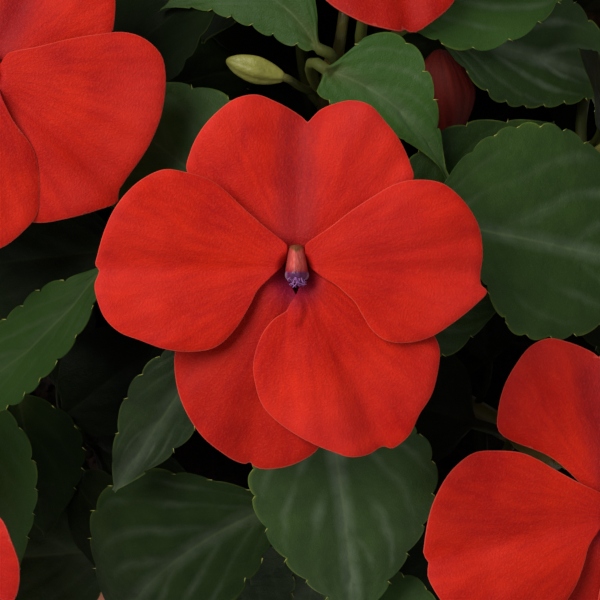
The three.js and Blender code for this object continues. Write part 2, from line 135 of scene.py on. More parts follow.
camera = bpy.data.objects.new("camera", bpy.data.cameras.new("camera"))
bpy.context.collection.objects.link(camera)
camera.data.sensor_width = 36.0
camera.data.lens = 36.0 * PORTRAIT_DISTANCE / PORTRAIT_WIDTH
camera.data.clip_start, camera.data.clip_end = 0.05, 10.0
turned = Matrix([FRONT[0], FRONT[1], FRONT[2]]).transposed().to_4x4()
camera.matrix_world = Matrix.Translation(Vector((aim + PORTRAIT_DISTANCE * FRONT[2]) * MM)) @ turned
bpy.context.scene.camera = camera
bpy.context.scene.view_settings.view_transform = "Standard"
bpy.context.scene.view_settings.look = "None"
print("lens:", round(camera.data.lens, 1), "mm")

# %% Lights


def soft_panel(name, place, size, watts, tint):
    """A square light panel that faces the plant."""
    lamp = bpy.data.objects.new(name, bpy.data.lights.new(name, "AREA"))
    bpy.context.collection.objects.link(lamp)
    lamp.data.shape, lamp.data.size = "SQUARE", size
    lamp.data.energy, lamp.data.color = watts, tint
    lamp.location = place
    toward = Vector(DOME_CENTRE * MM) - lamp.location
    lamp.rotation_euler = toward.to_track_quat("-Z", "Y").to_euler()
    return lamp


soft_panel("sky_panel", (-0.6, -0.2, 0.95), 0.7, 10.5, (1.0, 0.985, 0.96))
soft_panel("front_panel", (0.5, -1.0, 0.75), 0.8, 1.3, (0.96, 0.98, 1.0))

surround = bpy.data.worlds.new("surround")
bpy.context.scene.world = surround
surround.use_nodes = True
surround.node_tree.nodes["Background"].inputs["Color"].default_value = (0.9, 0.95, 1.0, 1.0)
surround.node_tree.nodes["Background"].inputs["Strength"].default_value = 0.2

# %% [markdown]
# ## Writing materials as sums
#
# A material is a formula for colour and roughness over a surface. Building it node by node hides
# the formula, so a small class wraps a socket and lets Python's own operators add the Math nodes.
# Colours go through Mix nodes, because a Math node would turn them grey. Every other node comes
# from one method that takes its kind, its settings and what goes into its sockets.

# %% Sockets as numbers


class Value:
    """One number that varies over the surface: a socket that can be added, multiplied and so on."""

    def __init__(self, bench, socket):
        self.bench, self.socket = bench, socket

    def _math(self, operation, *inputs):
        return self.bench.node("ShaderNodeMath", {"operation": operation}, inputs)

    def __add__(self, other):
        return self._math("ADD", self, other)

    def __mul__(self, other):
        return self._math("MULTIPLY", self, other)

    def __sub__(self, other):
        return self._math("SUBTRACT", self, other)

    def __rsub__(self, other):
        return self._math("SUBTRACT", other, self)

    def __truediv__(self, other):
        return self._math("DIVIDE", self, other)

    def __pow__(self, other):
        return self._math("POWER", self, other)

    def __abs__(self):
        return self._math("ABSOLUTE", self)

    def sine(self):
        return self._math("SINE", self)

    def most(self, other):
        return self._math("MAXIMUM", self, other)

    def clipped(self):
        return self.bench.node("ShaderNodeClamp", {}, (self,))

    def above(self, start, slope):
        """Nothing up to the start, then rising at this slope until it reaches one."""
        return ((self - start) * slope).clipped()

    def band(self, width):
        """One where this is zero, fading smoothly to nothing at the width."""
        near = (1.0 - abs(self) / width).clipped()
        return near * near * (3.0 - near * 2.0)


class Tree:
    """Adds nodes to a node tree: the settings first, then the value or link of each socket."""

    def __init__(self, tree):
        self.tree = tree

    def node(self, kind, settings=None, inputs=(), out=0):
        made = self.tree.nodes.new(kind)
        for key, value in (settings or {}).items():
            setattr(made, key, value)
        for key, value in inputs.items() if isinstance(inputs, dict) else enumerate(inputs):
            if isinstance(value, Value):
                self.tree.links.new(value.socket, made.inputs[key])
            else:
                made.inputs[key].default_value = value
        return Value(self, made.outputs[out])


# %% A material's workbench


class Bench(Tree):
    """Makes the nodes of one material, and keeps its colour so far."""

    def __init__(self, name):
        self.material = bpy.data.materials.new(name)
        self.material.use_nodes = True
        super().__init__(self.material.node_tree)
        self.shader = self.tree.nodes["Principled BSDF"]
        self.colour = None

    def attribute(self, name):
        return self.node("ShaderNodeAttribute", {"attribute_name": name}, out="Fac")

    def uv(self, across, along):
        """The piece's own flat map, stretched along each of its two directions."""
        flat = self.node("ShaderNodeUVMap", {"uv_map": "along"})
        return self.node("ShaderNodeMapping", {}, {"Vector": flat, "Scale": (across, along, 1.0)})

    def cloud(self, scale, detail, where=None):
        """Soft noise from 0 to 1. Scale counts lumps to the metre, or to the flat map's unit."""
        place = where or self.node("ShaderNodeTexCoord", {}, out="Object")
        inputs = {"Vector": place, "Scale": scale, "Detail": detail}
        return self.node("ShaderNodeTexNoise", {}, inputs)

    def blend(self, amount, first, second):
        """A colour between two, each of them three numbers or the result of another blend."""
        first, second = ((*c, 1.0) if isinstance(c, tuple) else c for c in (first, second))
        inputs = {0: amount, 6: first, 7: second}
        return self.node("ShaderNodeMix", {"data_type": "RGBA"}, inputs, out=2)

    def paint(self, amount, red, green, blue):
        """Lays a colour over the one so far, as strongly as the amount says at each point."""
        self.colour = self.blend(amount, self.colour, srgb(red, green, blue))

    def relief(self, height, depth, under=None):
        """A bump of this depth in metres, over another one if given."""
        inputs = {"Height": height, "Distance": depth, "Strength": 1.0}
        return self.node("ShaderNodeBump", {}, inputs | ({"Normal": under} if under else {}))

    def finish(self, roughness, normal=None, **constants):
        plain = isinstance(self.colour, tuple)
        colour = (*self.colour, 1.0) if plain else self.colour
        varying = {"Base Color": colour, "Roughness": roughness, "Normal": normal}
        fixed = {name.replace("_", " "): value for name, value in constants.items()}
        for name, value in (varying | fixed).items():
            if isinstance(value, Value):
                self.tree.links.new(value.socket, self.shader.inputs[name])
            elif value is not None:
                self.shader.inputs[name].default_value = value
        return self.material


def srgb(red, green, blue):
    """A colour as seen on a screen, 0 to 255, in the linear numbers that shaders use."""
    shares = (c / 255 for c in (red, green, blue))
    return tuple(((c + 0.055) / 1.055) ** 2.4 if c > 0.04 else c / 12.92 for c in shares)


print("a middle grey in linear numbers:", srgb(128, 128, 128))

# %% The floor
FLOOR_HALF = 8.0  # metres
square = [(x * FLOOR_HALF, y * FLOOR_HALF, 0) for x, y in ((-1, -1), (1, -1), (1, 1), (-1, 1))]
floor_mesh = bpy.data.meshes.new("floor")
floor_mesh.from_pydata(square, [], [(0, 1, 2, 3)])
floor = bpy.data.objects.new("floor", floor_mesh)
bpy.context.collection.objects.link(floor)
bench = Bench("pale_floor")
bench.colour = srgb(226, 224, 220)
floor_mesh.materials.append(bench.finish(0.8))
print("floor:", 2 * FLOOR_HALF, "metres square")

# %% [markdown]
# ## Petal velvet
#
# A petal's colour isn't flat. It drifts between orange-red and crimson in cloudy patches, darkens
# in fine streaks that fan out from the throat, turns purple at the throat itself, and thins to a
# paler pink line at the rim. The surface is made of tiny glassy cones, which read as velvet:
# rough, with a soft sheen and a fine sparkle, painted on as pale specks. A paler pink painted
# sheen lies over the outer part of lit petals, and petals in shade get crimson painted shade.

# %% Petal material


def petal_material():
    bench = Bench("petal_velvet")
    streaks = bench.cloud(1.0, 3.0, bench.uv(95.0, 2.2))
    fine = bench.cloud(1.0, 2.0, bench.uv(330.0, 7.0))
    drift = bench.cloud(95.0, 3.0)
    grain = bench.cloud(3600.0, 1.0)
    warm = ((drift - 0.5) * 2.4 + (streaks - 0.5) * 1.5 + 0.5).clipped()
    bench.colour = bench.blend(warm, srgb(184, 17, 9), srgb(219, 36, 7))
    bench.paint(bench.cloud(42.0, 2.0).above(0.52, 5.0) * 0.35, 214, 42, 36)
    # Painted sheen: the outer part of each lit petal is washed paler pink.
    pale = bench.cloud(60.0, 2.0).above(0.4, 4.0) * bench.attribute("outer")
    bench.paint(pale * 0.38, 220, 54, 48)
    bench.paint(fine.above(0.54, 4.0) * 0.22, 140, 5, 5)
    # Painted shade: petals and hollows that lie in shade are darkened to a deep crimson.
    bench.paint(bench.attribute("shade"), 130, 6, 7)
    bench.paint(bench.attribute("band") * (fine * 0.6 + 0.3), 138, 22, 31)
    bench.paint(bench.attribute("eye") * 0.84, 90, 13, 56)
    bench.paint(bench.attribute("rim") * (drift + 0.1).clipped(), 234, 96, 78)
    # Painted sparkle: pale specks stand in for glints off the velvet's glassy cones.
    bench.paint(grain.above(0.52, 4.0) * 0.14, 240, 84, 64)
    skin = bench.relief(grain, 0.00008)
    skin = bench.relief(streaks * 0.7 + fine * 0.3, 0.00007, skin)
    return bench.finish(
        0.6, skin, Specular_IOR_Level=0.12, Sheen_Weight=0.03, Sheen_Roughness=0.4,
        Subsurface_Weight=0.1, Subsurface_Radius=(0.0016, 0.0003, 0.0002), Subsurface_Scale=1.0,
    )


velvet = petal_material()
print("petal nodes:", len(velvet.node_tree.nodes))

# %% [markdown]
# ## Leaf skin
#
# The leaf is dark green, with a greyish bloom that gathers along the midrib and the side veins.
# Those veins leave the midrib in pairs and arch towards the tip, so their pattern follows the
# leaf: three numbers stored on the mesh say where a point lies along the blade, across it, and
# how many millimetres off the midrib. The margin is a thin yellow-green line.

# %% Leaf material
VEIN_PAIRS = 4.0  # to the length of a blade
VEIN_BOW = 0.66  # how far along the blade a side vein has arched by the margin
VEIN_ARCH = 1.2  # one for straight veins, more for veins that bend


def leaf_material(name, shine):
    bench = Bench(name)
    along, across, off = bench.attribute("along"), bench.attribute("across"), bench.attribute("off")
    wander = bench.cloud(90.0, 3.0) - 0.5
    phase = (along - abs(across) ** VEIN_ARCH * VEIN_BOW + wander * 0.2) * VEIN_PAIRS
    ripple = (phase * math.pi).sine()
    inside = (1.0 - abs(across) ** 3.0).clipped() * ((0.92 - along) * 4.0).clipped()
    uneven = (bench.cloud(70.0, 1.0) * 3.4 - 1.0).clipped()
    side_band, side_line = (ripple.band(width) * inside * uneven for width in (0.95, 0.12))
    rib_band, rib_line = off.band(2.3), off.band(0.35) * (1.1 - along)
    patchy = (bench.cloud(150.0, 4.0) * 3.4 - 1.3).clipped()
    brushed = bench.cloud(700.0, 3.0) * 0.8 + 0.6
    grain, mottle = bench.cloud(5200.0, 1.0), bench.cloud(240.0, 4.0)
    bench.colour = bench.blend((mottle * 2.0 - 0.5).clipped(), srgb(27, 46, 12), srgb(50, 72, 23))
    bench.paint(bench.attribute("fresh"), 66, 108, 34)
    bloom = ((rib_band * 0.66).most(side_band * 0.62) * (patchy * 0.6 + 0.4)).most(0.05)
    bloom = bloom * brushed * bench.attribute("dusty")
    bench.paint(bloom.clipped(), 122, 136, 112)
    bench.paint((side_line * 0.07 + rib_line * 0.34).clipped(), 122, 142, 84)
    bench.paint(grain.above(0.56, 5.0) * 0.16, 104, 122, 80)
    edging = bench.cloud(160.0, 2.0).above(0.42, 4.0)
    bench.paint(bench.attribute("margin") * edging * 0.75, 122, 142, 50)
    bench.paint(bench.attribute("under") * 0.7, 88, 110, 56)
    bench.paint(bench.attribute("stalk"), 92, 98, 40)
    # Painted shade: leaves deep in the plant are darkened nearly to black.
    bench.paint(bench.attribute("deep"), 5, 9, 3)
    skin = bench.relief(bench.cloud(900.0, 2.0), 0.00012, bench.relief(grain, 0.00006))
    rough = (bench.cloud(400.0, 2.0) * 0.3 + 0.36).clipped()
    return bench.finish(rough, skin, Specular_IOR_Level=shine)


# The duller copy, with less shine, is for leaves in deep painted shade.
leaf_skin, old_leaf_skin = leaf_material("leaf_skin", 0.15), leaf_material("old_leaf_skin", 0.05)
print("leaf nodes:", len(leaf_skin.node_tree.nodes))

# %% [markdown]
# ## Stalks, sepals, clay and soil
#
# Busy lizzie stems are glassy and swollen at the joints, green flushed with red. Their bloom and
# freckles are small-scale noise. Unglazed clay is rough and uneven in colour, with patches of
# powdery pale bloom, and potting compost is dark, matt and crumbly.

# %% Stalk, column and bud materials


def stalk_material():
    bench = Bench("stalk_skin")
    flush = bench.cloud(60.0, 2.0).above(0.42, 4.0)
    bench.colour = bench.blend(flush * 0.55, srgb(104, 118, 50), srgb(128, 72, 44))
    streak = bench.cloud(900.0, 2.0)
    bench.paint(streak.above(0.5, 3.0) * 0.35, 150, 158, 96)
    # Painted shade: within 62 mm of the dome's centre, deep inside the plant, the stalks darken.
    place = bench.node("ShaderNodeTexCoord", {}, out="Object")
    ends = (place, tuple(DOME_CENTRE * MM))
    away = bench.node("ShaderNodeVectorMath", {"operation": "DISTANCE"}, ends, out="Value")
    bench.paint(((0.062 - away) * 40.0).clipped() * 0.8, 26, 22, 9)
    return bench.finish(0.34, bench.relief(streak, 0.0001), Specular_IOR_Level=0.5)


def sepal_material():
    bench = Bench("sepal_skin")
    blotch = bench.cloud(220.0, 3.0).above(0.4, 3.0)
    bench.colour = bench.blend(blotch, srgb(166, 164, 78), srgb(124, 124, 50))
    ridges = bench.cloud(1400.0, 2.0)
    bench.paint(ridges.above(0.52, 3.0) * 0.3, 190, 192, 110)
    return bench.finish(0.42, bench.relief(ridges, 0.00012), Specular_IOR_Level=0.4)


def column_material():
    bench = Bench("column_flesh")
    down, side = bench.attribute("down"), bench.attribute("side")
    streak = bench.cloud(1.0, 3.0, bench.uv(30.0, 1.0))
    bench.colour = bench.blend(streak.above(0.42, 4.0), srgb(208, 76, 68), srgb(230, 118, 108))
    # Painted shade: the column's sides, turned away from the light, are painted dark red-brown.
    bench.paint((side - 0.45).clipped() * 1.5, 142, 16, 14)
    olive = ((0.27 - down - side * 0.16) * 12.0).clipped()
    bench.paint(olive * 0.8, 88, 66, 12)
    bench.paint(down.above(0.58, 5.0) * 0.8, 140, 24, 44)
    hood = down.above(0.75, 16.0)
    bench.paint(hood, 92, 34, 84)
    pale = (side.above(0.78, 6.0) + down.above(0.95, 14.0)).clipped()
    bench.paint(hood * pale * 0.6, 182, 140, 168)
    return bench.finish(0.42, bench.relief(streak, 0.0001), Subsurface_Weight=0.1)


def pollen_material():
    bench = Bench("violet_pollen")
    lump = bench.cloud(5000.0, 2.0)
    bench.colour = bench.blend(lump.above(0.4, 4.0), srgb(118, 44, 122), srgb(186, 124, 184))
    return bench.finish(0.6, bench.relief(lump, 0.0001))


def bud_material():
    bench = Bench("bud_skin")
    furled = bench.cloud(1.0, 3.0, bench.uv(16.0, 0.6))
    # Painted shade: the bud hangs in shade between the leaves, so its red is painted dull and dark
    # under its furled streaks.
    bench.colour = bench.blend(furled.above(0.35, 2.6), srgb(98, 28, 21), srgb(136, 42, 32))
    grain = bench.cloud(2600.0, 2.0)
    bench.paint(grain.above(0.5, 4.0) * 0.2, 168, 72, 60)
    skin = bench.relief(furled, 0.0004, bench.relief(grain, 0.00006))
    return bench.finish(0.6, skin, Specular_IOR_Level=0.15)


stalk_skin, sepal_skin, bud_skin = stalk_material(), sepal_material(), bud_material()
column_flesh, violet_pollen = column_material(), pollen_material()
print("column nodes:", len(column_flesh.node_tree.nodes))

# %% Clay and compost materials


def clay_material():
    bench = Bench("clay")
    fired = bench.cloud(28.0, 4.0)
    bench.colour = bench.blend((fired * 1.6 - 0.3).clipped(), srgb(158, 84, 54), srgb(192, 112, 76))
    powder = bench.cloud(700.0, 4.0).above(0.44, 4.0)
    chalk = bench.cloud(46.0, 5.0).above(0.52, 4.0) * (powder * 0.8 + 0.2)
    bench.paint(chalk * 0.36, 206, 168, 142)
    speck = bench.cloud(1900.0, 2.0)
    bench.paint(speck.above(0.6, 6.0) * 0.4, 112, 60, 40)
    pits = bench.relief(speck, 0.0003)
    return bench.finish(0.88, bench.relief(bench.cloud(240.0, 4.0), 0.0006, pits))


def compost_material():
    bench = Bench("compost")
    lump = bench.cloud(420.0, 5.0)
    bench.colour = bench.blend(lump.above(0.35, 3.0), srgb(20, 14, 10), srgb(58, 42, 30))
    fibre = bench.cloud(1600.0, 3.0)
    bench.paint(fibre.above(0.6, 5.0) * 0.5, 92, 70, 48)
    return bench.finish(0.95, bench.relief(lump, 0.0012, bench.relief(fibre, 0.0004)))


clay, compost = clay_material(), compost_material()
print("materials:", [m.name for m in bpy.data.materials])

# %% [markdown]
# ## From numbers to pieces
#
# Each part is worked out as an array of points. Small helpers turn it into a piece: one makes the
# mesh, one stores the extra numbers that the materials and recipes read, and one lets the piece
# ride on the plant's one body and take the place of the plain solids it stands for. Nearly every
# part is a row of equal rings of points, so one more helper joins such rings with faces.

# %% Making a piece


def bare_mesh(name, points, edges=(), faces=()):
    """A mesh from points in millimetres."""
    mesh = bpy.data.meshes.new(name)
    mesh.from_pydata((np.asarray(points) * MM).tolist(), list(edges), [tuple(f) for f in faces])
    return mesh


def store(mesh, key, values):
    """A named number, or a named vector, on every point of a mesh."""
    values = np.asarray(values, np.float32)
    kind, field = ("FLOAT", "value") if values.ndim == 1 else ("FLOAT_VECTOR", "vector")
    mesh.attributes.new(key, kind, "POINT").data.foreach_set(field, values.ravel())


def shape(name, points, faces, material, numbers=None, flat_map=None):
    """A mesh object from millimetre points, with numbers on them and an optional flat map."""
    mesh = bare_mesh(name, points, faces=faces)
    mesh.validate()
    mesh.materials.append(material)
    for key, values in (numbers or {}).items():
        store(mesh, key, values)
    if flat_map is not None:
        layer = mesh.uv_layers.new(name="along")
        corner = np.zeros(len(mesh.loops), np.int32)
        mesh.loops.foreach_get("vertex_index", corner)
        layer.data.foreach_set("uv", np.asarray(flat_map, np.float32)[corner].ravel())
    mesh.polygons.foreach_set("use_smooth", [True] * len(mesh.polygons))
    made = bpy.data.objects.new(name, mesh)
    bpy.context.collection.objects.link(made)
    return made


def settle(piece, slot, *nodes):
    """The piece rides on the plant and stands for these plain solids."""
    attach(piece, "root")
    if nodes:
        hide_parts(*nodes)
    return piece


def ring_faces(rings, sides, capped=True):
    """Faces that join equal rings of points in a row, with both ends capped or else all round."""
    faces = []
    for k in range(rings - 1 if capped else rings):
        here, there = k * sides, (k + 1) % rings * sides
        for i in range(sides):
            j = (i + 1) % sides
            faces.append((here + i, there + i, there + j, here + j))
    if capped:
        faces += [tuple(range(sides)), tuple(rings * sides - 1 - i for i in range(sides))]
    return faces


print("faces of a capped square rod:", ring_faces(2, 4))

# %% [markdown]
# ## The clay pot
#
# A thrown pot is a profile turned round an axis, so its wall is one closed curve spun in 144
# steps. Real clay isn't perfect: the radius wavers by a few tenths of a millimetre and the wheel
# leaves faint rings. The drain holes are cut through the floor afterwards with a Boolean.

# %% Spin the pot


def spun(profile, turns, waver):
    """Points and faces of a closed profile (radius, height) turned round the Z axis."""
    rings = []
    for k in range(turns):
        a = 2 * math.pi * k / turns
        for r, z in profile:
            wide = r + waver(a, r, z)
            rings.append((wide * math.cos(a), wide * math.sin(a), z))
    return rings, ring_faces(turns, len(profile), capped=False)


def finer(corners, step):
    """The same closed profile with points added along its straight runs."""
    fine = []
    for k, (r, z) in enumerate(corners):
        r2, z2 = corners[(k + 1) % len(corners)]
        count = max(1, int(math.hypot(r2 - r, z2 - z) / step))
        fine += [(r + (r2 - r) * i / count, z + (z2 - z) * i / count) for i in range(count)]
    return fine


POT_WALL = [
    (0.02, 0), (35.5, 0), (36.6, 0.3), (37, 1.2), (50, 70.6), (50.6, 71.4), (52.4, 71.8),
    (53.1, 72.6), (53.9, 89.5), (53.5, 91.3), (52.5, 92), (51, 92), (50.3, 91.4), (50, 90.4),
    (33.4, 6), (32.2, 5), (0.02, 5),
]
FLAT_REACH = 34  # the pot's underside and floor stay flat out to here
DRAIN_RADIUS, DRAIN_REACH = 4.5, 20  # of a drain hole, and from the pot's middle to the hole's


def pot_waver(a, r, z):
    """How far the wall strays from its profile: the wheel's rings, and not quite round."""
    if r < FLAT_REACH:
        return 0.0
    rings = 0.09 * math.sin(z * 1.9) + 0.05 * math.sin(z * 4.7 + 1.0)
    return rings + 0.18 * math.sin(2 * a + z * 0.02) + 0.1 * math.sin(3 * a + 1.3)


points, faces = spun(finer(POT_WALL, 1.6), 144, pot_waver)
pot = shape("clay_pot", points, faces, clay)
for k in range(4):
    a, away = math.pi / 2 * (k + 0.5), DRAIN_REACH * MM
    bpy.ops.mesh.primitive_cylinder_add(
        vertices=40, radius=DRAIN_RADIUS * MM, depth=16 * MM,
        location=(away * math.cos(a), away * math.sin(a), 2.5 * MM),
    )
    drill = bpy.context.object
    cut = pot.modifiers.new("drain", "BOOLEAN")
    cut.object, cut.solver = drill, "EXACT"
    graph = bpy.context.evaluated_depsgraph_get()
    pot.data = bpy.data.meshes.new_from_object(pot.evaluated_get(graph))
    pot.modifiers.clear()
    bpy.data.objects.remove(drill)
settle(pot, "clay", "pot")
print("pot faces:", len(pot.data.polygons))

# %% [markdown]
# ## Soil
#
# Compost settles into a shallow dish with lumps and crumbs. The dish is a disc of rings pushed up
# and down by noise, closed down the pot's wall. The crumbs repeat hundreds of times, which is
# work for Geometry Nodes: points are strewn over the top, and each carries a small lump of its
# own size and turn.

# %% Lumpy soil


def lumps(points, size, seed=0.0):
    """Smooth noise from -1 to 1 at each point: size is how many millimetres a lump is across."""
    shift = Vector((seed * 7.3, seed * 3.1, seed * 5.7))
    return np.array([noise.noise(Vector(p) / size + shift) for p in points])


SOIL_RADIUS = 49.2
CRUMB_REACH = 46  # crumbs lie no further out than this
soil_rings = [(r, SOIL_TOP) for r in np.linspace(0.02, SOIL_RADIUS, 30)]
soil_side = [(46.5, 76.0), (40.0, 40.0), (33.6, 8.0), (32.6, 5.6), (0.02, 5.6)]
points, faces = spun(list(reversed(soil_rings + soil_side)), 96, lambda a, r, z: 0.0)
points = np.array(points)
reach = np.hypot(points[:, 0], points[:, 1])
top = points[:, 2] > SOIL_TOP - 1
dish = 0.9 * (reach / SOIL_RADIUS) ** 2 - 0.6
rough = 1.1 * lumps(points, 9.0) + 0.7 * lumps(points, 3.6, 2.0)
points[top, 2] += (dish + rough * np.clip((SOIL_RADIUS - reach) / 4, 0, 1))[top]
soil = settle(shape("soil_bed", points, faces, compost), "compost", "soil")
print("soil top from", points[top, 2].min().round(1), "to", points[top, 2].max().round(1), "mm")

# %% Geometry Nodes, written by name


class Recipe(Tree):
    """One Geometry Nodes tree with named inputs, run on a mesh to make a plain mesh."""

    def __init__(self, name, **inputs):
        super().__init__(bpy.data.node_groups.new(name, "GeometryNodeTree"))
        new_socket = self.tree.interface.new_socket
        for way in ("INPUT", "OUTPUT"):
            new_socket("Geometry", in_out=way, socket_type="NodeSocketGeometry")
        self.keys = {
            key: new_socket(key, in_out="INPUT", socket_type=kind).identifier
            for key, kind in inputs.items()
        }
        self.start = self.tree.nodes.new("NodeGroupInput")
        self.end = self.tree.nodes.new("NodeGroupOutput")

    def given(self, name="Geometry"):
        return Value(self, self.start.outputs[name])

    def named(self, name, kind="FLOAT"):
        return self.node("GeometryNodeInputNamedAttribute", {"data_type": kind}, {"Name": name})

    def close(self, geometry, material):
        """Every tree ends alike: instances made real, smooth shading, one material."""
        real = self.node("GeometryNodeRealizeInstances", {}, {"Geometry": geometry})
        smooth = self.node("GeometryNodeSetShadeSmooth", {}, {"Geometry": real})
        inputs = {"Geometry": smooth, "Material": material}
        painted = self.node("GeometryNodeSetMaterial", {}, inputs)
        self.tree.links.new(painted.socket, self.end.inputs[0])
        return self

    def run(self, name, base, **values):
        """A new plain piece: the recipe is followed once on the base mesh."""
        made = bpy.data.objects.new(name, base)
        bpy.context.collection.objects.link(made)
        modifier = made.modifiers.new("recipe", "NODES")
        modifier.node_group = self.tree
        for key, value in values.items():
            modifier[self.keys[key]] = value
        evaluated = made.evaluated_get(bpy.context.evaluated_depsgraph_get())
        made.data = bpy.data.meshes.new_from_object(evaluated)
        made.modifiers.clear()
        made.data.name = name
        return made


# %% Strew the crumbs


def strewer(name, material, least, most, turned=0.0):
    """A recipe that strews small lumps over a mesh, each with a girth and a turn of its own."""
    made = Recipe(name, Density="NodeSocketFloat", Size="NodeSocketFloat", Seed="NodeSocketInt")
    spots = made.node(
        "GeometryNodeDistributePointsOnFaces", {},
        {"Mesh": made.given(), "Density": made.given("Density"), "Seed": made.given("Seed")},
    )
    size = {"Radius": made.given("Size"), "Subdivisions": 1}
    lump = made.node("GeometryNodeMeshIcoSphere", {}, size)
    turn, girth = (
        made.node("FunctionNodeRandomValue", {"data_type": "FLOAT_VECTOR"}, {0: low, 1: high})
        for low, high in (((0, 0, 0), (turned, turned, turned)), (least, most))
    )
    strewn = made.node(
        "GeometryNodeInstanceOnPoints", {},
        {"Points": spots, "Instance": lump, "Rotation": turn, "Scale": girth},
    )
    return made.close(strewn, material)


strew = strewer("strew_crumbs", compost, (0.3, 0.3, 0.25), (1.5, 1.2, 0.9), 6.28)
bed = np.array([p for p in points[top] if math.hypot(p[0], p[1]) < CRUMB_REACH])
cut = delaunay_2d_cdt([Vector(p[:2]) for p in bed[::2]], [], [], 0, 1e-4)
ground = bare_mesh("ground", [(x, y, SOIL_TOP - 0.2) for x, y in cut[0]], faces=cut[2])
settle(strew.run("soil_crumbs", ground, Density=130000.0, Size=0.9 * MM, Seed=4), "compost")

# %% [markdown]
# ## Stem and shoots
#
# One thick stem comes out of the soil and forks into shoots, which arch outwards and up. Each
# shoot ends in a flower, and its leaves stand round it in a spiral. The joints, where leaves
# leave, are swollen. Every stalk here follows a path with a girth of its own, so one recipe makes
# them all: a line of points becomes a curve, and a circle runs along it.

# %% Paths
SHOOT_TIPS = {  # where each shoot ends
    "front": front([0, -4, -27]),
    "top": front([6, 31, -32]),
    "right_low": front([39, -28, -36]),
    "left": front([-37, 18, -33]),
    "left_low": front([-45, -30, -44]),
    "right": front([45, 18, -42]),
    "back_left": DOME_CENTRE + 47 * slope_axes(-118, 24)[2],
    "back_right": DOME_CENTRE + 47 * slope_axes(122, 28)[2],
    "back": DOME_CENTRE + 44 * slope_axes(178, 48)[2],
}
FORK = 92.1  # the height at which the stem forks
BRANCH_RADIUS = (2.6, 1.6)  # at the fork and at the tip


def smooth_path(corners, count, closed=False):
    """Evenly spaced points on a smooth curve through the corners."""
    p = np.asarray(corners, float)
    ring = np.vstack([p[-1], p, p[:2]] if closed else [2 * p[0] - p[1], p, 2 * p[-1] - p[-2]])
    s = np.linspace(0, 1, 24, endpoint=False)[:, None]
    fine = []
    for a, b, c, d in zip(ring, ring[1:], ring[2:], ring[3:]):
        k0, k1, k2 = (np.linalg.norm(q - r) ** 0.5 for q, r in ((b, a), (c, b), (d, c)))
        m1 = ((b - a) / k0 - (c - a) / (k0 + k1) + (c - b) / k1) * k1
        m2 = ((c - b) / k1 - (d - b) / (k1 + k2) + (d - c) / k2) * k1
        square, cube = 3 * (c - b) - 2 * m1 - m2, 2 * (b - c) + m1 + m2
        fine.append(b + m1 * s + square * s**2 + cube * s**3)
    fine = np.vstack([*fine, ring[-2]])
    far = np.concatenate([[0], np.cumsum(np.linalg.norm(np.diff(fine, axis=0), axis=1))])
    even = np.linspace(0, far[-1], count + 1)
    return np.stack([np.interp(even, far, fine[:, k]) for k in range(p.shape[1])], axis=1)


def branch(tip):
    """The path of a shoot from the fork to its tip."""
    foot = np.array([0, 0, FORK])
    elbow = np.array([tip[0] * 0.42, tip[1] * 0.42, foot[2] + (tip[2] - foot[2]) * 0.38])
    return smooth_path([foot, elbow, tip], 100)


SHOOTS = {name: branch(tip) for name, tip in SHOOT_TIPS.items()}
for name, path in SHOOTS.items():
    print(name, "shoot:", round(np.linalg.norm(np.diff(path, axis=0), axis=1).sum()), "mm")

# %% The stalk recipe
follow = Recipe("stalks", Sides="NodeSocketInt", Skin="NodeSocketMaterial")
line = follow.node("GeometryNodeMeshToCurve", {}, {"Mesh": follow.given()})
hoop = follow.node(
    "GeometryNodeCurvePrimitiveCircle", {}, {"Resolution": follow.given("Sides"), "Radius": 1.0}
)
rods = follow.node(
    "GeometryNodeCurveToMesh", {},
    {"Curve": line, "Profile Curve": hoop, "Scale": follow.named("girth"), "Fill Caps": True},
)
follow.close(rods, follow.given("Skin"))


def stalks(name, lines, skin, sides):
    """A piece of round stalks: each line is (points, girths) in millimetres."""
    edges, first = [], 0
    for p, _ in lines:
        edges += [(first + k, first + k + 1) for k in range(len(p) - 1)]
        first += len(p)
    base = bare_mesh(name, np.vstack([p for p, _ in lines]), edges)
    store(base, "girth", np.concatenate([np.broadcast_to(g, len(p)) for p, g in lines]) * MM)
    return follow.run(name, base, Sides=sides, Skin=skin)


def swollen(count, ends, joints):
    """Girths along a shoot that thins from one end to the other and swells at its joints."""
    t = np.linspace(0, 1, count)
    swelling = sum(np.exp(-(((t - j) / 0.035) ** 2)) for j in joints)
    return np.interp(t, [0, 1], ends) * (1 + 0.22 * swelling)


trunk = [(0, 0, z) for z in np.linspace(70, 101.5, 40)]
lines = [(trunk, swollen(40, (5.4, 4.5), (0.55, 0.8)))]
for k, path in enumerate(SHOOTS.values()):
    joints = (0.3 + 0.02 * k, 0.62 - 0.01 * k, 0.9, 0.97)
    lines.append((path, swollen(len(path), BRANCH_RADIUS, joints)))
settle(stalks("stem_and_shoots", lines, stalk_skin, 18), "stem", "stem")

# %% [markdown]
# ## Leaves
#
# A leaf is ovate, folded a little along its midrib, and droops to a drawn-out tip. Its margin is
# cut into low round scallops with a hair-like tooth in each notch, and the blade is puffed up
# between the side veins. A flat card with a picture would lose all of that, so each leaf is one
# closed skin: a loop of points that is round along the stalk and opens out into the blade. The
# quilting comes from the same vein formula as the material, so that the veins lie in its furrows.

# %% One leaf
LOOP = np.array([0, 0.03, 0.08, 0.16, 0.26, 0.37, 0.48, 0.59, 0.7, 0.8, 0.89, 0.95, 0.985, 1])
ACROSS = np.concatenate([-LOOP[:0:-1], LOOP])  # shares of the half width, left to right
STALK_HALF = 0.85
FOLD, CURL = math.tan(math.radians(8)), 0.012  # how the halves rise, and bend back down
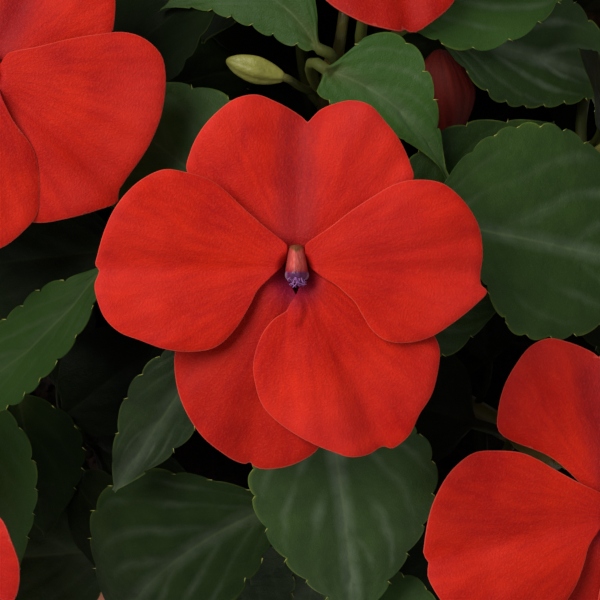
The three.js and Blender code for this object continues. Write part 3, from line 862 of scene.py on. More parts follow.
# Millimetres on a blade of the usual width: the margin's notches, the quilting, the groove over
# the midrib, the rib under it and the margin's waves.
USUAL_WIDTH = 28
NOTCH, QUILT, GROOVE, RIB, WAVE = 1.1, 0.4, 0.35, 0.8, 0.55
SCALLOP = 4.0  # length of a scallop
BARE_HALF = 2.5  # a blade narrower than this to one side has no scallops


def blade_share(t, widest):
    """Share of the full width along the blade: rounded at its foot and drawn out to a point."""
    return (t / widest) ** (1.875 * widest) * ((1 - t) / (1 - widest)) ** (1.875 * (1 - widest))


def bezier(a, b, c, d, s):
    s = np.asarray(s)[:, None]
    return (1 - s) ** 3 * a + 3 * (1 - s) ** 2 * s * b + 3 * (1 - s) * s**2 * c + s**3 * d


def turned_about(v, axis, degrees):
    a = math.radians(degrees)
    return v * math.cos(a) + np.cross(axis, v) * math.sin(a) + axis * (axis @ v) * (1 - math.cos(a))


def blade_row(t, v, length, width, seed, halves, wedge, widest):
    """A row across a blade at t along it: half widths, places, heights and the scallops' phase."""
    rising = min(t / 0.4, 1)
    share = width / 2 * blade_share(t, widest) * np.where(v < 0, *halves)
    share = share * np.where(v > 0, (rising * (2 - rising)) ** wedge, 1)
    half = np.maximum(STALK_HALF * (1 - 0.6 * t), share)
    scallops = max(5, round(length / SCALLOP))
    phase = scallops * t**0.92 + np.where(v < 0, 0.5, 0.0) + 0.4 * math.sin(seed + 5 * t)
    notch = 1 - np.sin(np.pi * (phase % 1) ** 0.8) ** 0.4
    cut = NOTCH * notch * min(1.0, t / 0.12) * min(1.0, (1 - t) / 0.06)
    cut = cut * (width / USUAL_WIDTH) ** 0.5
    x = v * half - np.sign(v) * cut * np.abs(v) ** 5 * (half > BARE_HALF)
    off = np.abs(x)
    veins = np.sin(np.pi * VEIN_PAIRS * (t - np.abs(v) ** VEIN_ARCH * VEIN_BOW))
    inside = (1 - np.abs(v) ** 4) * min(1.0, half.max() / 4) * min(1.0, (1 - t) * 4)
    quilt = QUILT * (np.abs(veins) ** 0.7 - 0.6) * inside * width / USUAL_WIDTH
    groove = -GROOVE * np.exp(-((off / 0.9) ** 2)) * (1 - t)
    swing = 2 * np.pi * (2.1 * t + 0.17 * seed) + np.sign(v) * (1 + seed)
    wave = WAVE * np.abs(v) ** 2 * np.sin(swing)
    lift = off * FOLD - CURL * off**2 + wave * width / USUAL_WIDTH + quilt + groove
    return half, x, lift, phase


def leaf_form(
    axes, foot, heading, tilt, length, width, stalk, roll=0, droop=22,
    rows=72, seed=0.0, sweep=0, halves=(1, 1), wedge=0, widest=0.4,
):
    """Points, faces, numbers and teeth of one leaf.

    The foot is where the blade starts. The stalk is given by its own start and the way it leaves.
    """
    a, e, sag = math.radians(heading), math.radians(tilt), math.radians(droop)
    right, rise, out = axes
    heads = right * math.cos(a) + rise * math.sin(a)
    tipward = heads * math.cos(e) + out * math.sin(e)
    up = turned_about(out * math.cos(e) - heads * math.sin(e), tipward, roll)
    side = np.cross(tipward, up)
    start, leave = stalk
    gap = np.linalg.norm(foot - start)
    handles = start + leave * gap * 0.35, foot - tipward * gap * 0.4
    petiole = bezier(start, *handles, foot, np.linspace(0, 1, 9))
    points, numbers = [], []
    for k, centre in enumerate(petiole[:-1]):
        forward = unit(petiole[k + 1] - centre)
        normal = unit(np.cross(side, forward))
        sideways = np.cross(forward, normal)
        for face in (1, -1):
            angle = face * (np.pi / 2) * (1 - ACROSS[::face])
            ring = np.cos(angle)[:, None] * sideways + np.sin(angle)[:, None] * normal
            points += list(centre + STALK_HALF * ring)
            numbers += [(0, 0, 3, 0, 0, 1)] * len(ACROSS)
    teeth, before = [], None
    for t in np.linspace(0, 1, rows):
        turn = sag * t
        normal = up * math.cos(turn) + tipward * math.sin(turn)
        centre = foot + tipward * length * math.sin(turn) / sag
        centre = centre - up * length * (1 - math.cos(turn)) / sag
        centre = centre + side * sweep * 4 * t * (1 - t)
        opened = min(1.0, t / 0.05)
        for face in (1, -1):
            v = ACROSS[::face]
            half, x, lift, phase = blade_row(t, v, length, width, seed, halves, wedge, widest)
            off = np.abs(x)
            rib = 0.1 + RIB * np.exp(-((off / 0.8) ** 2)) * (1 - 0.75 * t)
            lift = lift + 0.1 if face == 1 else lift - rib
            angle = face * (np.pi / 2) * (1 - v)
            x = x * opened + STALK_HALF * np.cos(angle) * (1 - opened)
            lift = lift * opened + STALK_HALF * np.sin(angle) * (1 - opened)
            points += list(centre + x[:, None] * side + lift[:, None] * normal)
            if face == 1:
                ends = [(-1, points[-len(v)], phase[0]), (1, points[-1], phase[-1])]
                for (way, place, now), last in zip(ends, before or ends):
                    if math.floor(now) > math.floor(last[2]) and half.min() > BARE_HALF:
                        teeth.append((place, unit(side * way + tipward * 1.2)))
                before = ends
            edge = np.clip(1 - half * (1 - np.abs(v)) / 0.3, 0, 1)
            green = np.exp(-t * length / 2.5) * np.exp(-((off / 1.5) ** 2))
            numbers += list(zip(np.full(len(v), t), v, off, edge, np.full(len(v), face < 0), green))
    loop = 2 * len(ACROSS)
    names = ("along", "across", "off", "margin", "under", "stalk")
    numbers = dict(zip(names, np.array(numbers, float).T))
    return np.array(points), ring_faces(len(points) // loop, loop), numbers, teeth


def side_stalk(shoot, spot, target):
    """Where a leaf's stalk leaves its shoot, on the side of its blade, and the way it leaves."""
    path = SHOOTS[shoot]
    length = np.linalg.norm(np.diff(path, axis=0), axis=1).sum()
    share = 1 - (2.2 + 2.4 * spot) / length
    k = min(int(share * 100), 99)
    forward = unit(path[k + 1] - path[k])
    centre = path[k] + (path[k + 1] - path[k]) * (share * 100 - k)
    leave = target - centre
    leave = unit(leave - forward * (leave @ forward))
    radius = np.interp(share, [0, 1], BRANCH_RADIUS)
    return centre + leave * (radius - 0.5), leave


print("points across a leaf:", len(ACROSS))

# %% [markdown]
# ### The leaves of the front slope
#
# The leaves that frame the fullest flower are placed one by one: how far down its shoot each one
# starts, the foot of its blade to the right, up and outwards from the throat, its heading and
# tilt, its length and width, and sometimes a roll about the midrib and a droop.

# %% Front leaves
FRONT_LEAVES = {
    "front": {
        "down": [1, [4.2, -18, -10], -83, -20, 41, 28],
        "right": [2, [18, 7, -10], -10, -14, 44, 32, -8],
        "left": [3, [-25.4, 3, -12], 214, -10, 37, 22, 36],
        "left_low": [0, [-11.5, -10, -10], 236, -14, 29.3, 16],
        "under": [5, [-2.2, -33.5, -21], 220, -12, 40, 28, 0, 44],
        "right_low": [4, [10, -6, -15], 4, -6, 21, 15.5],
        "up_left": [6, [-6, 7, -15], 142, -4, 31, 24],
        "up_right": [7, [14.5, 6.3, -19], 33, -6, 29, 19],
        "far_left": [8, [-25, 3, -21], 186, -16, 34, 21],
    },
    "top": {
        "left": [0, [3.2, 31.6, -19], 165, -6, 25, 18],
        "down": [1, [4.3, 28.5, -18], -42, 12, 23.6, 18.2, 0, 26],
        "right": [2, [13, 38.8, -21.6], 12, -12, 34, 22],
        "far_right": [3, [18.5, 35.2, -26], -12, -20, 38, 24],
        "back": [4, [0, 41, -31], 104, -42, 36, 24],
    },
    "right_low": {
        "up": [3, [21.5, -54.3, -29], 160, -8, 20, 15],
        "down": [1, [44, -40, -32], -60, -30, 38, 25],
        "right": [2, [51, -24, -32], -2, -46, 36, 25],
    },
    "left": {
        "up": [1, [-34, 29, -34], 88, -34, 26, 22],
        "out": [2, [-49, 19, -30], 172, -42, 36, 24],
    },
    "left_low": {
        "up": [0, [-49.5, -17, -29], -74, -10, 31, 15.5],
        "under": [2, [-41.5, -18, -38], -81, -8, 24, 17],
        "out": [1, [-56, -32, -42], 190, -44, 34, 23],
    },
    "right": {
        "up": [0, [44, 28, -45], 70, -46, 24, 22],
        "out": [1, [56, 14, -42], -22, -44, 36, 24],
        "under": [2, [47, 6, -40], -70, -16, 28, 19],
    },
}
# Sweep is how far the midrib arches sideways, halves how wide the left and the right one are,
# wedge how narrowly the right one runs in to the foot, and widest how far along the blade is so.
UNEVEN = {
    "leaf_front_down": {"sweep": -0.6, "halves": (1, 0.93), "widest": 0.33},
    "leaf_front_right": {"halves": (1.08, 0.88), "wedge": 2.4},
    "leaf_front_left": {"sweep": -4.8, "halves": (0.62, 0.68), "wedge": 1.2, "widest": 0.54},
    "leaf_front_left_low": {"halves": (0.62, 0.8)},
    "leaf_front_under": {"sweep": 3, "halves": (0.72, 1.06), "widest": 0.48},
    "leaf_front_up_right": {"halves": (0.85, 1)},
    "leaf_left_low_under": {"halves": (1, 0.55)},
    "leaf_top_left": {"sweep": 6, "halves": (0.6, 1)},
    "leaf_top_down": {"sweep": -2.6, "halves": (1, 0.56), "widest": 0.22},
    "leaf_top_right": {"halves": (1, 0.9)},
    "leaf_top_far_right": {"halves": (1, 0.68), "wedge": 1.1},
}
LOOKS = {  # how young and light, how much greyish bloom, how much painted shade for lying deep
    "leaf_front_down": (0.15, 1.2, 0.0),
    "leaf_front_right": (0.2, 0.72, 0.05),
    "leaf_front_left": (0.5, 0.3, 0.62),
    "leaf_front_far_left": (0.0, 0.3, 0.85),
    "leaf_front_left_low": (0.0, 0.9, 0.55),
    "leaf_front_under": (0.1, 0.9, 0.68),
    "leaf_front_right_low": (0.2, 0.3, 0.45),
    "leaf_front_up_left": (0.4, 0.3, 0.3),
    "leaf_top_left": (0.7, 0.3, 0.42),
    "leaf_top_down": (0.85, 0.6, 0.36),
    "leaf_top_right": (0.5, 0.8, 0.0),
    "leaf_top_far_right": (0.15, 1.3, 0.05),
    "leaf_right_low_up": (0.3, 0.5, 0.2),
    "leaf_left_low_up": (0.75, 0.3, 0.4),
    "leaf_left_low_under": (0.1, 0.2, 0.78),
}
SHADE_FOR_DULL_SKIN = 0.6  # a leaf with more painted shade than this has the duller shaded skin
teeth = []


def place_leaf(name, form, deep, *nodes):
    """A leaf's blade as a piece. Deep is its painted shade, unless its looks are listed."""
    points, faces, numbers, own_teeth = form
    usual = (0.05 * (len(name) % 3), 0.15 + 0.1 * (len(name) % 3), deep)
    for key, value in zip(("fresh", "dusty", "deep"), LOOKS.get(name, usual)):
        numbers[key] = np.full(len(points), value)
    teeth.extend(own_teeth)
    skin = old_leaf_skin if numbers["deep"][0] > SHADE_FOR_DULL_SKIN else leaf_skin
    return settle(shape(f"{name}_blade", points, faces, skin, numbers), "leaf", *nodes)


def shade_by_depth(out):
    """Leaves that hang deeper under the slope get more painted shade."""
    return SHADE_FOR_DULL_SKIN * float(np.clip((-out - 16) / 14, 0, 1))


for shoot, leaves in FRONT_LEAVES.items():
    for key, (spot, base, heading, tilt, length, width, *bend) in leaves.items():
        foot, name = front(base), f"leaf_{shoot}_{key}"
        form = leaf_form(
            FRONT, foot, heading, tilt, length, width, side_stalk(shoot, spot, foot), *bend,
            rows=120 if base[2] > -20 else 72, seed=len(key) + length, **UNEVEN.get(name, {}),
        )
        place_leaf(name, form, shade_by_depth(base[2]), name)
print("front leaves:", sum(len(leaves) for leaves in FRONT_LEAVES.values()), "teeth:", len(teeth))

# %% [markdown]
# ### The leaves round the back
#
# Behind, the leaves spread about the tip of each shoot like spokes, in that shoot's own slope, so
# a heading and a tilt are all that each one needs.

# %% Back rosettes
# The slope that the shoot faces, how far its leaves stand out, the upper whorl and the lower one.
BACK_ROSETTES = {
    "back_left": (
        (-118, 24), 6,
        [(75, -20), (170, -20), (262, 12), (345, -12)], [(120, -36), (215, -24), (322, 4)],
    ),
    "back_right": (
        (122, 28), 8,
        [(20, -20), (100, -26), (195, -12), (290, 10)], [(56, -34), (245, 14), (340, -8)],
    ),
    "back": ((178, 48), 13, [(70, -20), (140, -20), (235, -20), (335, -20)], [(285, -24)]),
}
UPPER_SIZE, LOWER_SIZE = (36, 25), (31, 22)  # length and width of a blade


def rosette_leaf(shoot, facing, reach, rise, spot, heading, tilt, length, width):
    axes, a = slope_axes(*facing), math.radians(heading)
    foot = SHOOT_TIPS[shoot] + np.array([reach * math.cos(a), reach * math.sin(a), rise]) @ axes
    stalk = side_stalk(shoot, spot, foot)
    return leaf_form(axes, foot, heading, tilt, length, width, stalk, seed=spot + rise)


for shoot, (facing, rise, upper, _) in BACK_ROSETTES.items():
    for k, (heading, tilt) in enumerate(upper):
        name = f"leaf_{shoot}_{k + 1}"
        form = rosette_leaf(shoot, facing, 9, rise, k, heading, tilt, *UPPER_SIZE)
        place_leaf(name, form, 0.1, name)
print("back leaves:", sum(len(upper) for _, _, upper, _ in BACK_ROSETTES.values()))

# %% [markdown]
# ### Leaves deeper in
#
# A second whorl hangs between and below the first, and a few leaves of the front shoots lie
# behind the rest. They make the foliage look dense: where you look between two leaves you see a
# third one, painted dark as shade.

# %% Lower whorls and inner leaves
for shoot, (facing, rise, upper, lower) in BACK_ROSETTES.items():
    for k, (heading, tilt) in enumerate(lower):
        spot = len(upper) + 0.5 + k
        form = rosette_leaf(shoot, facing, 10, rise - 9, spot, heading, tilt, *LOWER_SIZE)
        place_leaf(f"leaf_{shoot}_low_{k + 1}", form, 0.5)

INNER_LEAVES = {  # shoot, how far down it, foot of the blade, heading, tilt, length and width
    "front_low": ["front", 9, [4, -38, -34], -100, -30, 26, 19],
    "left_inner": ["left", 5, [-28, 25, -42], 18, -16, 27, 20],
    "front_low_left": ["front", 11, [-5, -38, -37], 250, -20, 24, 16],
    "left_low_low": ["left_low", 4, [-27, -42, -46.5], 186, -3, 32, 24],
}
for key, (shoot, spot, base, *bend) in INNER_LEAVES.items():
    foot = front(base)
    form = leaf_form(FRONT, foot, *bend, side_stalk(shoot, spot, foot), seed=spot)
    place_leaf(f"leaf_{key}", form, 0.6)
print("deeper leaves:", len(INNER_LEAVES) + sum(len(lower) for *_, lower in BACK_ROSETTES.values()))

# %% [markdown]
# ## Petals
#
# The flat face has five petals: a broad notched one at the top, two round ones at the sides that
# lie over the rest, and a pair below. Each is a thin sheet with a crease down its middle, shallow
# folds that fan out from the throat, a rim that turns back, and a surface that is never quite
# smooth. Here a given outline is filled with an even net of points, a Delaunay triangulation
# joins them, and every point is lifted by a formula in polar coordinates about the throat. The
# sheet then gets a back and an edge.

# %% Petal outlines
# Outlines are in millimetres from the throat, right then up, seen from the front. Layer is how
# far out the petal lies, and dip how much further at the throat. Middle is the direction of its
# middle line, pull how purple it is at the throat, and painted shade how much it is darkened all
# over to crimson, as shade. Curve bends it back with the square of the distance, valley folds it
# along its middle line, tilt leans it sideways, and claw is how far out it has risen to its
# layer. A fold is an angle, a height and a width in degrees.
PETALS = {
    "upper": {
        "layer": -1.2, "dip": 0.6, "middle": 90, "pull": 0.3, "shade": 0.0,
        "curve": -0.0022, "valley": 0.075, "tilt": 0.06,
        "outline": [
            (-2.3, 1.7), (-8, 8.6), (-15, 13.2), (-14.6, 16.2), (-13.2, 19), (-11.1, 21.4),
            (-8.4, 23.4), (-5.5, 24), (-2.9, 23.1), (-0.6, 21.9), (1.0, 20.8), (1.6, 20.2),
            (2.2, 20.8), (3.4, 21.9), (5.4, 22.7), (7.7, 23.1), (10.2, 22.4), (12.2, 20.3),
            (14.3, 17.6), (15.8, 14.2), (16.1, 12.1), (8, 7.2), (2.4, 1.7), (1.2, 0.7), (-1.1, 0.7),
        ],
        "folds": [(88, -1.1, 9), (65, 0.5, 15), (115, 0.5, 15), (42, -0.6, 12), (138, -0.6, 12)],
    },
    "lower_left": {
        "layer": -0.25, "dip": 0.5, "middle": -106, "pull": 1.0, "shade": 0.36,
        "curve": -0.0036, "valley": -0.05,
        "outline": [
            (-0.35, -3.0), (-0.95, -1.6), (-1.5, -0.4), (-1.9, 0.4), (-3.2, -0.2), (-6, -3),
            (-10, -6), (-15, -9), (-16.6, -11.3), (-16.8, -14), (-16.2, -17.4), (-14.8, -20.6),
            (-12.8, -23.4), (-10.4, -25.4), (-8.4, -26.7), (-6.9, -27.1), (-6.4, -26.8),
            (-5.9, -27.4), (-4.7, -27.8), (-1.5, -27.5), (1.2, -26.4), (3, -25), (5, -20), (5, -14),
            (3, -8), (0.2, -4.0),
        ],
        "folds": [(-104, -0.6, 5), (-125, 0.4, 12), (-85, 0.4, 12), (-140, -0.3, 8)],
    },
    "lower_right": {
        "layer": 0.9, "dip": 0.0, "middle": -62, "pull": 1.0, "shade": 0.0,
        "curve": -0.002, "valley": -0.1,
        "outline": [
            (0.1, -3.5), (-0.8, -4.9), (-1.35, -5.9), (-2.9, -6.9), (-4.3, -8.5), (-5.3, -10.6),
            (-5.9, -13.3), (-5.6, -16.1), (-4.7, -18.8), (-2.9, -20.9), (-0.1, -22.9), (2.6, -24.3),
            (5.4, -25.4), (7.4, -26), (9.9, -25.7), (12, -24.6), (13.2, -24.9), (14.3, -24.3),
            (15.7, -22.9), (17, -20.2), (18.7, -17.4), (19.6, -14), (19.8, -11.3), (19.2, -9.6),
            (14, -4), (8, -2.2), (4, -0.4), (2.2, 0.4), (1.5, -0.5), (0.85, -1.6), (0.4, -2.7),
        ],
        "folds": [(-62, -0.9, 6), (-85, 0.6, 12), (-45, 0.2, 10), (-100, -0.4, 8)],
    },
    "left": {
        "layer": 1.1, "dip": 0.0, "middle": 180, "pull": 0.3, "shade": 0.0,
        "curve": -0.0008, "valley": 0.06, "claw": 2.8,
        "outline": [
            (-1.55, 0.8), (-1.2, 3.1), (-1.45, 3.4), (-4.7, 6.0), (-7.7, 8.7), (-9.8, 10.7),
            (-11.8, 12.1), (-15, 13.1), (-18, 13.5), (-20.7, 12.4), (-22.8, 10.7), (-24.9, 8),
            (-26.2, 5.2), (-27.3, 1.8), (-27.6, 0.4), (-27.1, -0.3), (-27.7, -2.3), (-27.3, -4.4),
            (-26.2, -6.9), (-24.2, -8.8), (-21.4, -9.9), (-18, -11.1), (-14.6, -11.5),
            (-11.1, -10.9), (-8.4, -8.5), (-6.3, -5.1), (-5.2, -3), (-3.6, -1.4),
        ],
        "folds": [(181, -0.8, 6), (160, 0.7, 12), (205, 0.6, 12), (228, -0.4, 8)],
    },
    "right": {
        "layer": 1.8, "dip": -0.3, "middle": 0, "pull": 0.3, "shade": 0.0,
        "curve": -0.0032, "valley": 0.05, "claw": 2.8,
        "outline": [
            (1.6, 0.6), (1.3, 3.2), (1.6, 3.5), (4.7, 5.6), (7.4, 7.7), (10.9, 10), (13.6, 11.5),
            (16.4, 12.1), (19.8, 11.7), (21.8, 10.4), (23.9, 8), (25.3, 5.2), (25.7, 1.8),
            (25.4, -1), (25.5, -2.3), (26.3, -3.2), (24.6, -5.1), (21.2, -7.8), (18.4, -9.5),
            (15, -10.3), (12.2, -9.9), (10.4, -8.5), (9.1, -6.5), (8.1, -4.8), (7, -3.7),
            (5.4, -2.3), (3.3, -1),
        ],
        "folds": [(-2, -0.7, 6), (20, 0.6, 12), (-15, 0.5, 9), (8, -0.25, 3)],
    },
}
PETAL_HALF = 0.12  # half the thickness of a petal
RIM = 0.15  # how wide the pale line along its edge is
CLAW = 4.6  # how far out a petal has risen to its layer, where it says nothing else
THROAT_DEPTH = 1.9  # how far its foot lies behind the flower's face
ROW = 0.866  # from row to row in an even net of triangles, in meshes


def smooth_step(low, high, x):
    t = np.clip((x - low) / (high - low), 0, 1)
    return t * t * (3 - 2 * t)


def inside_outline(points, edge):
    """Even-odd test of each point against a closed outline."""
    x, y = points[:, :1], points[:, 1:]
    x1, y1 = edge[:, 0], edge[:, 1]
    x2, y2 = np.roll(x1, -1), np.roll(y1, -1)
    crossing = (y1 > y) != (y2 > y)
    slope = (x2 - x1) / np.where(y2 == y1, 1e-9, y2 - y1)
    return (crossing & (x < x1 + (y - y1) * slope)).sum(axis=1) % 2 == 1


def reshaped(corners, middle, turn, long, wide):
    """An outline stretched along and across the petal's middle line, then turned."""
    a, b = math.radians(middle), math.radians(middle + turn)
    lengthwise = corners @ (math.cos(a), math.sin(a)) * long
    sideways = corners @ (-math.sin(a), math.cos(a)) * wide
    axes = np.array([(math.cos(b), math.sin(b)), (-math.sin(b), math.cos(b))])
    return np.outer(lengthwise, axes[0]) + np.outer(sideways, axes[1])


def from_edge(points, edge):
    return np.linalg.norm(points[:, None] - edge[None], axis=2).min(axis=1)


def petal_net(edge, net):
    """Flat points and faces inside an outline: the edge, a line along it, and an even net."""
    low, high = edge.min(axis=0), edge.max(axis=0)
    rows, columns = np.arange(low[1], high[1], net * ROW), np.arange(low[0], high[0], net)
    grid = np.array([(x + net / 2 * (k % 2), y) for k, y in enumerate(rows) for x in columns])
    grid = grid[inside_outline(grid, edge)]
    back = np.roll(edge, 1, axis=0) - np.roll(edge, -1, axis=0)
    inward = np.column_stack([back[:, 1], -back[:, 0]]) / np.linalg.norm(back, axis=1)[:, None]
    inward *= 1 if inside_outline(edge + inward * 0.1, edge).mean() > 0.5 else -1
    rim_line = edge + inward * RIM
    rim_line = rim_line[inside_outline(rim_line, edge)]
    flat = np.vstack([edge, rim_line, grid[from_edge(grid, edge) > net * 0.45 + RIM]])
    ring = [(k, (k + 1) % len(edge)) for k in range(len(edge))]
    verts, _, faces = delaunay_2d_cdt([Vector(p) for p in flat], ring, [], 1, 1e-5)[:3]
    return np.array([tuple(v) for v in verts]), faces


def sheet(flat, height, faces):
    """Points and faces of a thin sheet: a front, a back and a skirt along the edge."""
    count = len(flat)
    points = np.vstack([np.column_stack([flat, height + side * PETAL_HALF]) for side in (1, -1)])
    seen = dict.fromkeys((a, b) for face in faces for a, b in zip(face, face[1:] + face[:1]))
    skirt = [(a, a + count, b + count, b) for a, b in seen if (b, a) not in seen]
    behind = [tuple(i + count for i in reversed(f)) for f in faces]
    return points, [tuple(f) for f in faces] + behind + skirt


def petal_form(key, net, seed=0.0, turn=0, long=1, wide=1, lift=0):
    """Points, faces, numbers and flat map of one petal in its flower's own axes, throat at zero."""
    petal = PETALS[key]
    middle, layer = petal["middle"] + turn, petal["layer"] + lift
    corners = reshaped(np.array(petal["outline"], float), petal["middle"], turn, long, wide)
    around = np.linalg.norm(corners - np.roll(corners, 1, axis=0), axis=1).sum()
    edge = smooth_path(corners, round(around / net), closed=True)[:-1]
    flat, faces = petal_net(edge, net)
    apart = from_edge(flat, edge)
    r = np.hypot(flat[:, 0], flat[:, 1])
    angle = np.degrees(np.arctan2(flat[:, 1], flat[:, 0]))
    off = (angle - middle + 180) % 360 - 180
    bowl = layer + THROAT_DEPTH + petal["dip"] * smooth_step(13, 4, r)
    risen = smooth_step(0.6, petal.get("claw", CLAW), r)
    height = bowl * risen - THROAT_DEPTH + petal["curve"] * r**2
    height += petal.get("tilt", 0) * flat[:, 0]
    sideways = np.abs(np.sin(np.radians(off))) * r
    height += petal["valley"] * (np.sqrt(sideways**2 + 1.5) - 1.2) * smooth_step(3, 9, r)
    for k, (where, rise, width) in enumerate(petal["folds"]):
        moved = where - petal["middle"] + 4 * math.sin(seed * 3 + k)
        away = ((off - moved + 180) % 360 - 180) / width
        height += rise * (1 + 0.3 * math.sin(seed + 2 * k)) * (r / 20) ** 1.3 * np.exp(-(away**2))
    height -= 0.32 * (1 - np.clip(apart / 1.3, 0, 1)) ** 2 * smooth_step(9, 13, r)
    spread = np.column_stack([flat, np.full(len(flat), middle * 0.3)])
    bumpy = 0.3 * lumps(spread, 8.5, seed) + 0.09 * lumps(spread, 3.4, seed + 5)
    height += bumpy * smooth_step(2, 6, r)
    height += np.sin(np.radians(off) * 26 + seed) * 0.1 * smooth_step(10, 24, r)
    if key == "lower_right":  # a small tongue folded over at the throat
        beside = np.hypot((flat[:, 0] - 0.05) / 1.25, (flat[:, 1] + 5.9) / 2.4)
        height += 0.5 * smooth_step(1.05, 0.55, beside)
    band = np.exp(-((np.radians(off) * r / 3.1) ** 4)) * (key == "upper") * smooth_step(27, 19, r)
    # The outer part of a petal gets a painted pinkish sheen, except on a petal in painted shade.
    numbers = {
        "rim": (apart < RIM * 0.5) * smooth_step(3, 8, r),
        "band": band,
        "outer": smooth_step(12, 26, r) * (petal["shade"] < 0.2),
        "eye": petal["pull"] * np.exp(-((np.hypot(flat[:, 0], flat[:, 1] + 1.6) / 3.4) ** 2.5)),
        "shade": np.full(len(flat), petal["shade"]),
    }
    uv = np.column_stack([(off + middle) / 360, r / 10])
    numbers = {k: np.tile(v, 2) for k, v in numbers.items()}
    return *sheet(flat, height, faces), numbers, np.tile(uv, (2, 1))


class Stand:
    """Where a flower stands: its throat's place, the axes of its face, its turn and its size."""

    def __init__(self, throat, axes, turn=0.0, size=1.0):
        a = math.radians(turn)
        spin = np.array([[math.cos(a), math.sin(a), 0], [-math.sin(a), math.cos(a), 0], [0, 0, 1]])
        self.throat, self.rows = throat, size * spin @ axes

    def place(self, points):
        return self.throat + np.asarray(points, float) @ self.rows


fullest = Stand(THROAT, FRONT)
for key in PETALS:
    points, faces, numbers, uv = petal_form(key, 0.42)
    petal = shape(f"petal_{key}", fullest.place(points), faces, velvet, numbers, uv)
    settle(petal, "petal", f"flower_petal_{key}")
    print(petal.name, len(faces), "faces")

# %% [markdown]
# ## Throat, nectary and spur
#
# The petals leave a small opening. Behind it a sepal is drawn out into a funnel that holds the
# nectar, and its foot runs on into a spur as thin as a bristle. The funnel is a closed profile
# spun round the flower's axis, with a hollow mouth, and the spur is a tapering tube that starts
# inside its foot.

# %% Funnel and spur
FUNNEL = [
    (0.02, -9), (0.6, -9), (0.85, -7.8), (1.25, -6.4), (2.1, -4.6), (2.9, -3.2), (3.3, -2.5),
    (3.0, -2.2), (2.4, -2.7), (1.8, -3.8), (1.0, -5.2), (0.5, -6), (0.02, -6.2),
]
MOUTH_DROP = 1.3  # how much lower than the flower's middle the funnel's mouth lies
SPUR = [(0, 0, -8.2), (0, -3, -12), (0, -9, -14), (0, -16, -13.4)]


def tube(corners, girths, sides=10, steps=30):
    """Points and faces of a round closed tube on a smooth path."""
    path = smooth_path(corners, steps)
    ahead = np.gradient(path, axis=0)
    ahead /= np.linalg.norm(ahead, axis=1)[:, None]
    across = unit(np.cross(ahead[0], [0.3, 0.9, 0.31]))
    points = []
    for k, centre in enumerate(path):
        across = unit(across - ahead[k] * (across @ ahead[k]))
        other = np.cross(ahead[k], across)
        girth = np.interp(k / steps, np.linspace(0, 1, len(girths)), girths)
        for i in range(sides):
            a = 2 * math.pi * i / sides
            points.append(centre + girth * (math.cos(a) * across + math.sin(a) * other))
    return np.array(points), [(f[0], *f[:0:-1]) for f in ring_faces(steps + 1, sides)]


def together(*parts):
    """Several (points, faces) as one."""
    points, faces, first = [], [], 0
    for p, f in parts:
        points.append(np.asarray(p, float))
        faces += [tuple(i + first for i in face) for face in f]
        first += len(p)
    return np.vstack(points), faces


def nectary(name, stand, spur_turn):
    points, faces = spun(finer(FUNNEL, 0.8), 28, lambda a, r, z: 0.08 * r * math.sin(5 * a))
    points = [(x, y - MOUTH_DROP * smooth_step(-8, -3, z), z) for x, y, z in points]
    swing = Matrix.Rotation(math.radians(spur_turn), 3, "Z")
    spur = tube([tuple(swing @ Vector(p)) for p in SPUR], (0.68, 0.6, 0.52, 0.44, 0.5))
    points, faces = together((points, faces), spur)
    reach = np.hypot(points[:, 0], points[:, 1] + MOUTH_DROP)
    hollow = (points[:, 2] > -6.3) & (reach < 3.3 + points[:, 2] * 0.37)
    # Inside the hollow mouth the velvet gets the eye's full purple and painted shade, as shade in
    # the recess.
    numbers = dict.fromkeys(("band", "rim", "outer"), 0 * reach)
    numbers |= {"eye": np.where(hollow, 1.0, 0.25), "shade": np.where(hollow, 0.8, 0.1)}
    around = np.arctan2(points[:, 1], points[:, 0]) / (2 * math.pi)
    uv = np.column_stack([around, points[:, 2] / 10])
    return shape(name, stand.place(points), faces, velvet, numbers, uv)


funnel = settle(nectary("nectary", fullest, 45), "petal", "flower_calyx")
print("funnel and spur faces:", len(funnel.data.polygons))

# %% [markdown]
# ## Column
#
# In the middle the anthers are joined into a little fleshy body that hangs over the throat: coral
# with darker streaks above, a violet hood below, and ragged violet pollen at its mouth. It is a
# stack of flattened rings with lengthwise ridges. The pollen grains repeat, so they are strewn by
# the same kind of recipe as the crumbs.

# %% The column and its pollen
# Height above the throat, centre across, half width, how far out it bulges, all in millimetres.
COLUMN = [
    (3.2, 0.05, 0.3, 0.6), (3.05, 0.05, 0.85, 1.3), (2.6, 0.07, 1.06, 1.9),
    (2.0, 0.08, 1.14, 2.4), (1.2, 0.1, 1.26, 3.0), (0.4, 0.1, 1.4, 3.5), (-0.2, 0.1, 1.5, 3.8),
    (-0.5, 0.1, 1.5, 3.95), (-0.72, 0.1, 1.58, 4.05), (-1.1, 0.1, 1.6, 3.95),
    (-1.5, 0.1, 1.44, 3.6), (-1.65, 0.1, 1.15, 3.1), (-1.5, 0.1, 0.75, 2.6),
    (-1.2, 0.1, 0.2, 2.3),
]
COLUMN_FOOT = -1.6  # where the column's back meets the throat
COLUMN_TOP, COLUMN_TALL = 3.2, 4.85
COLUMN_RINGS, COLUMN_SIDES = 49, 40


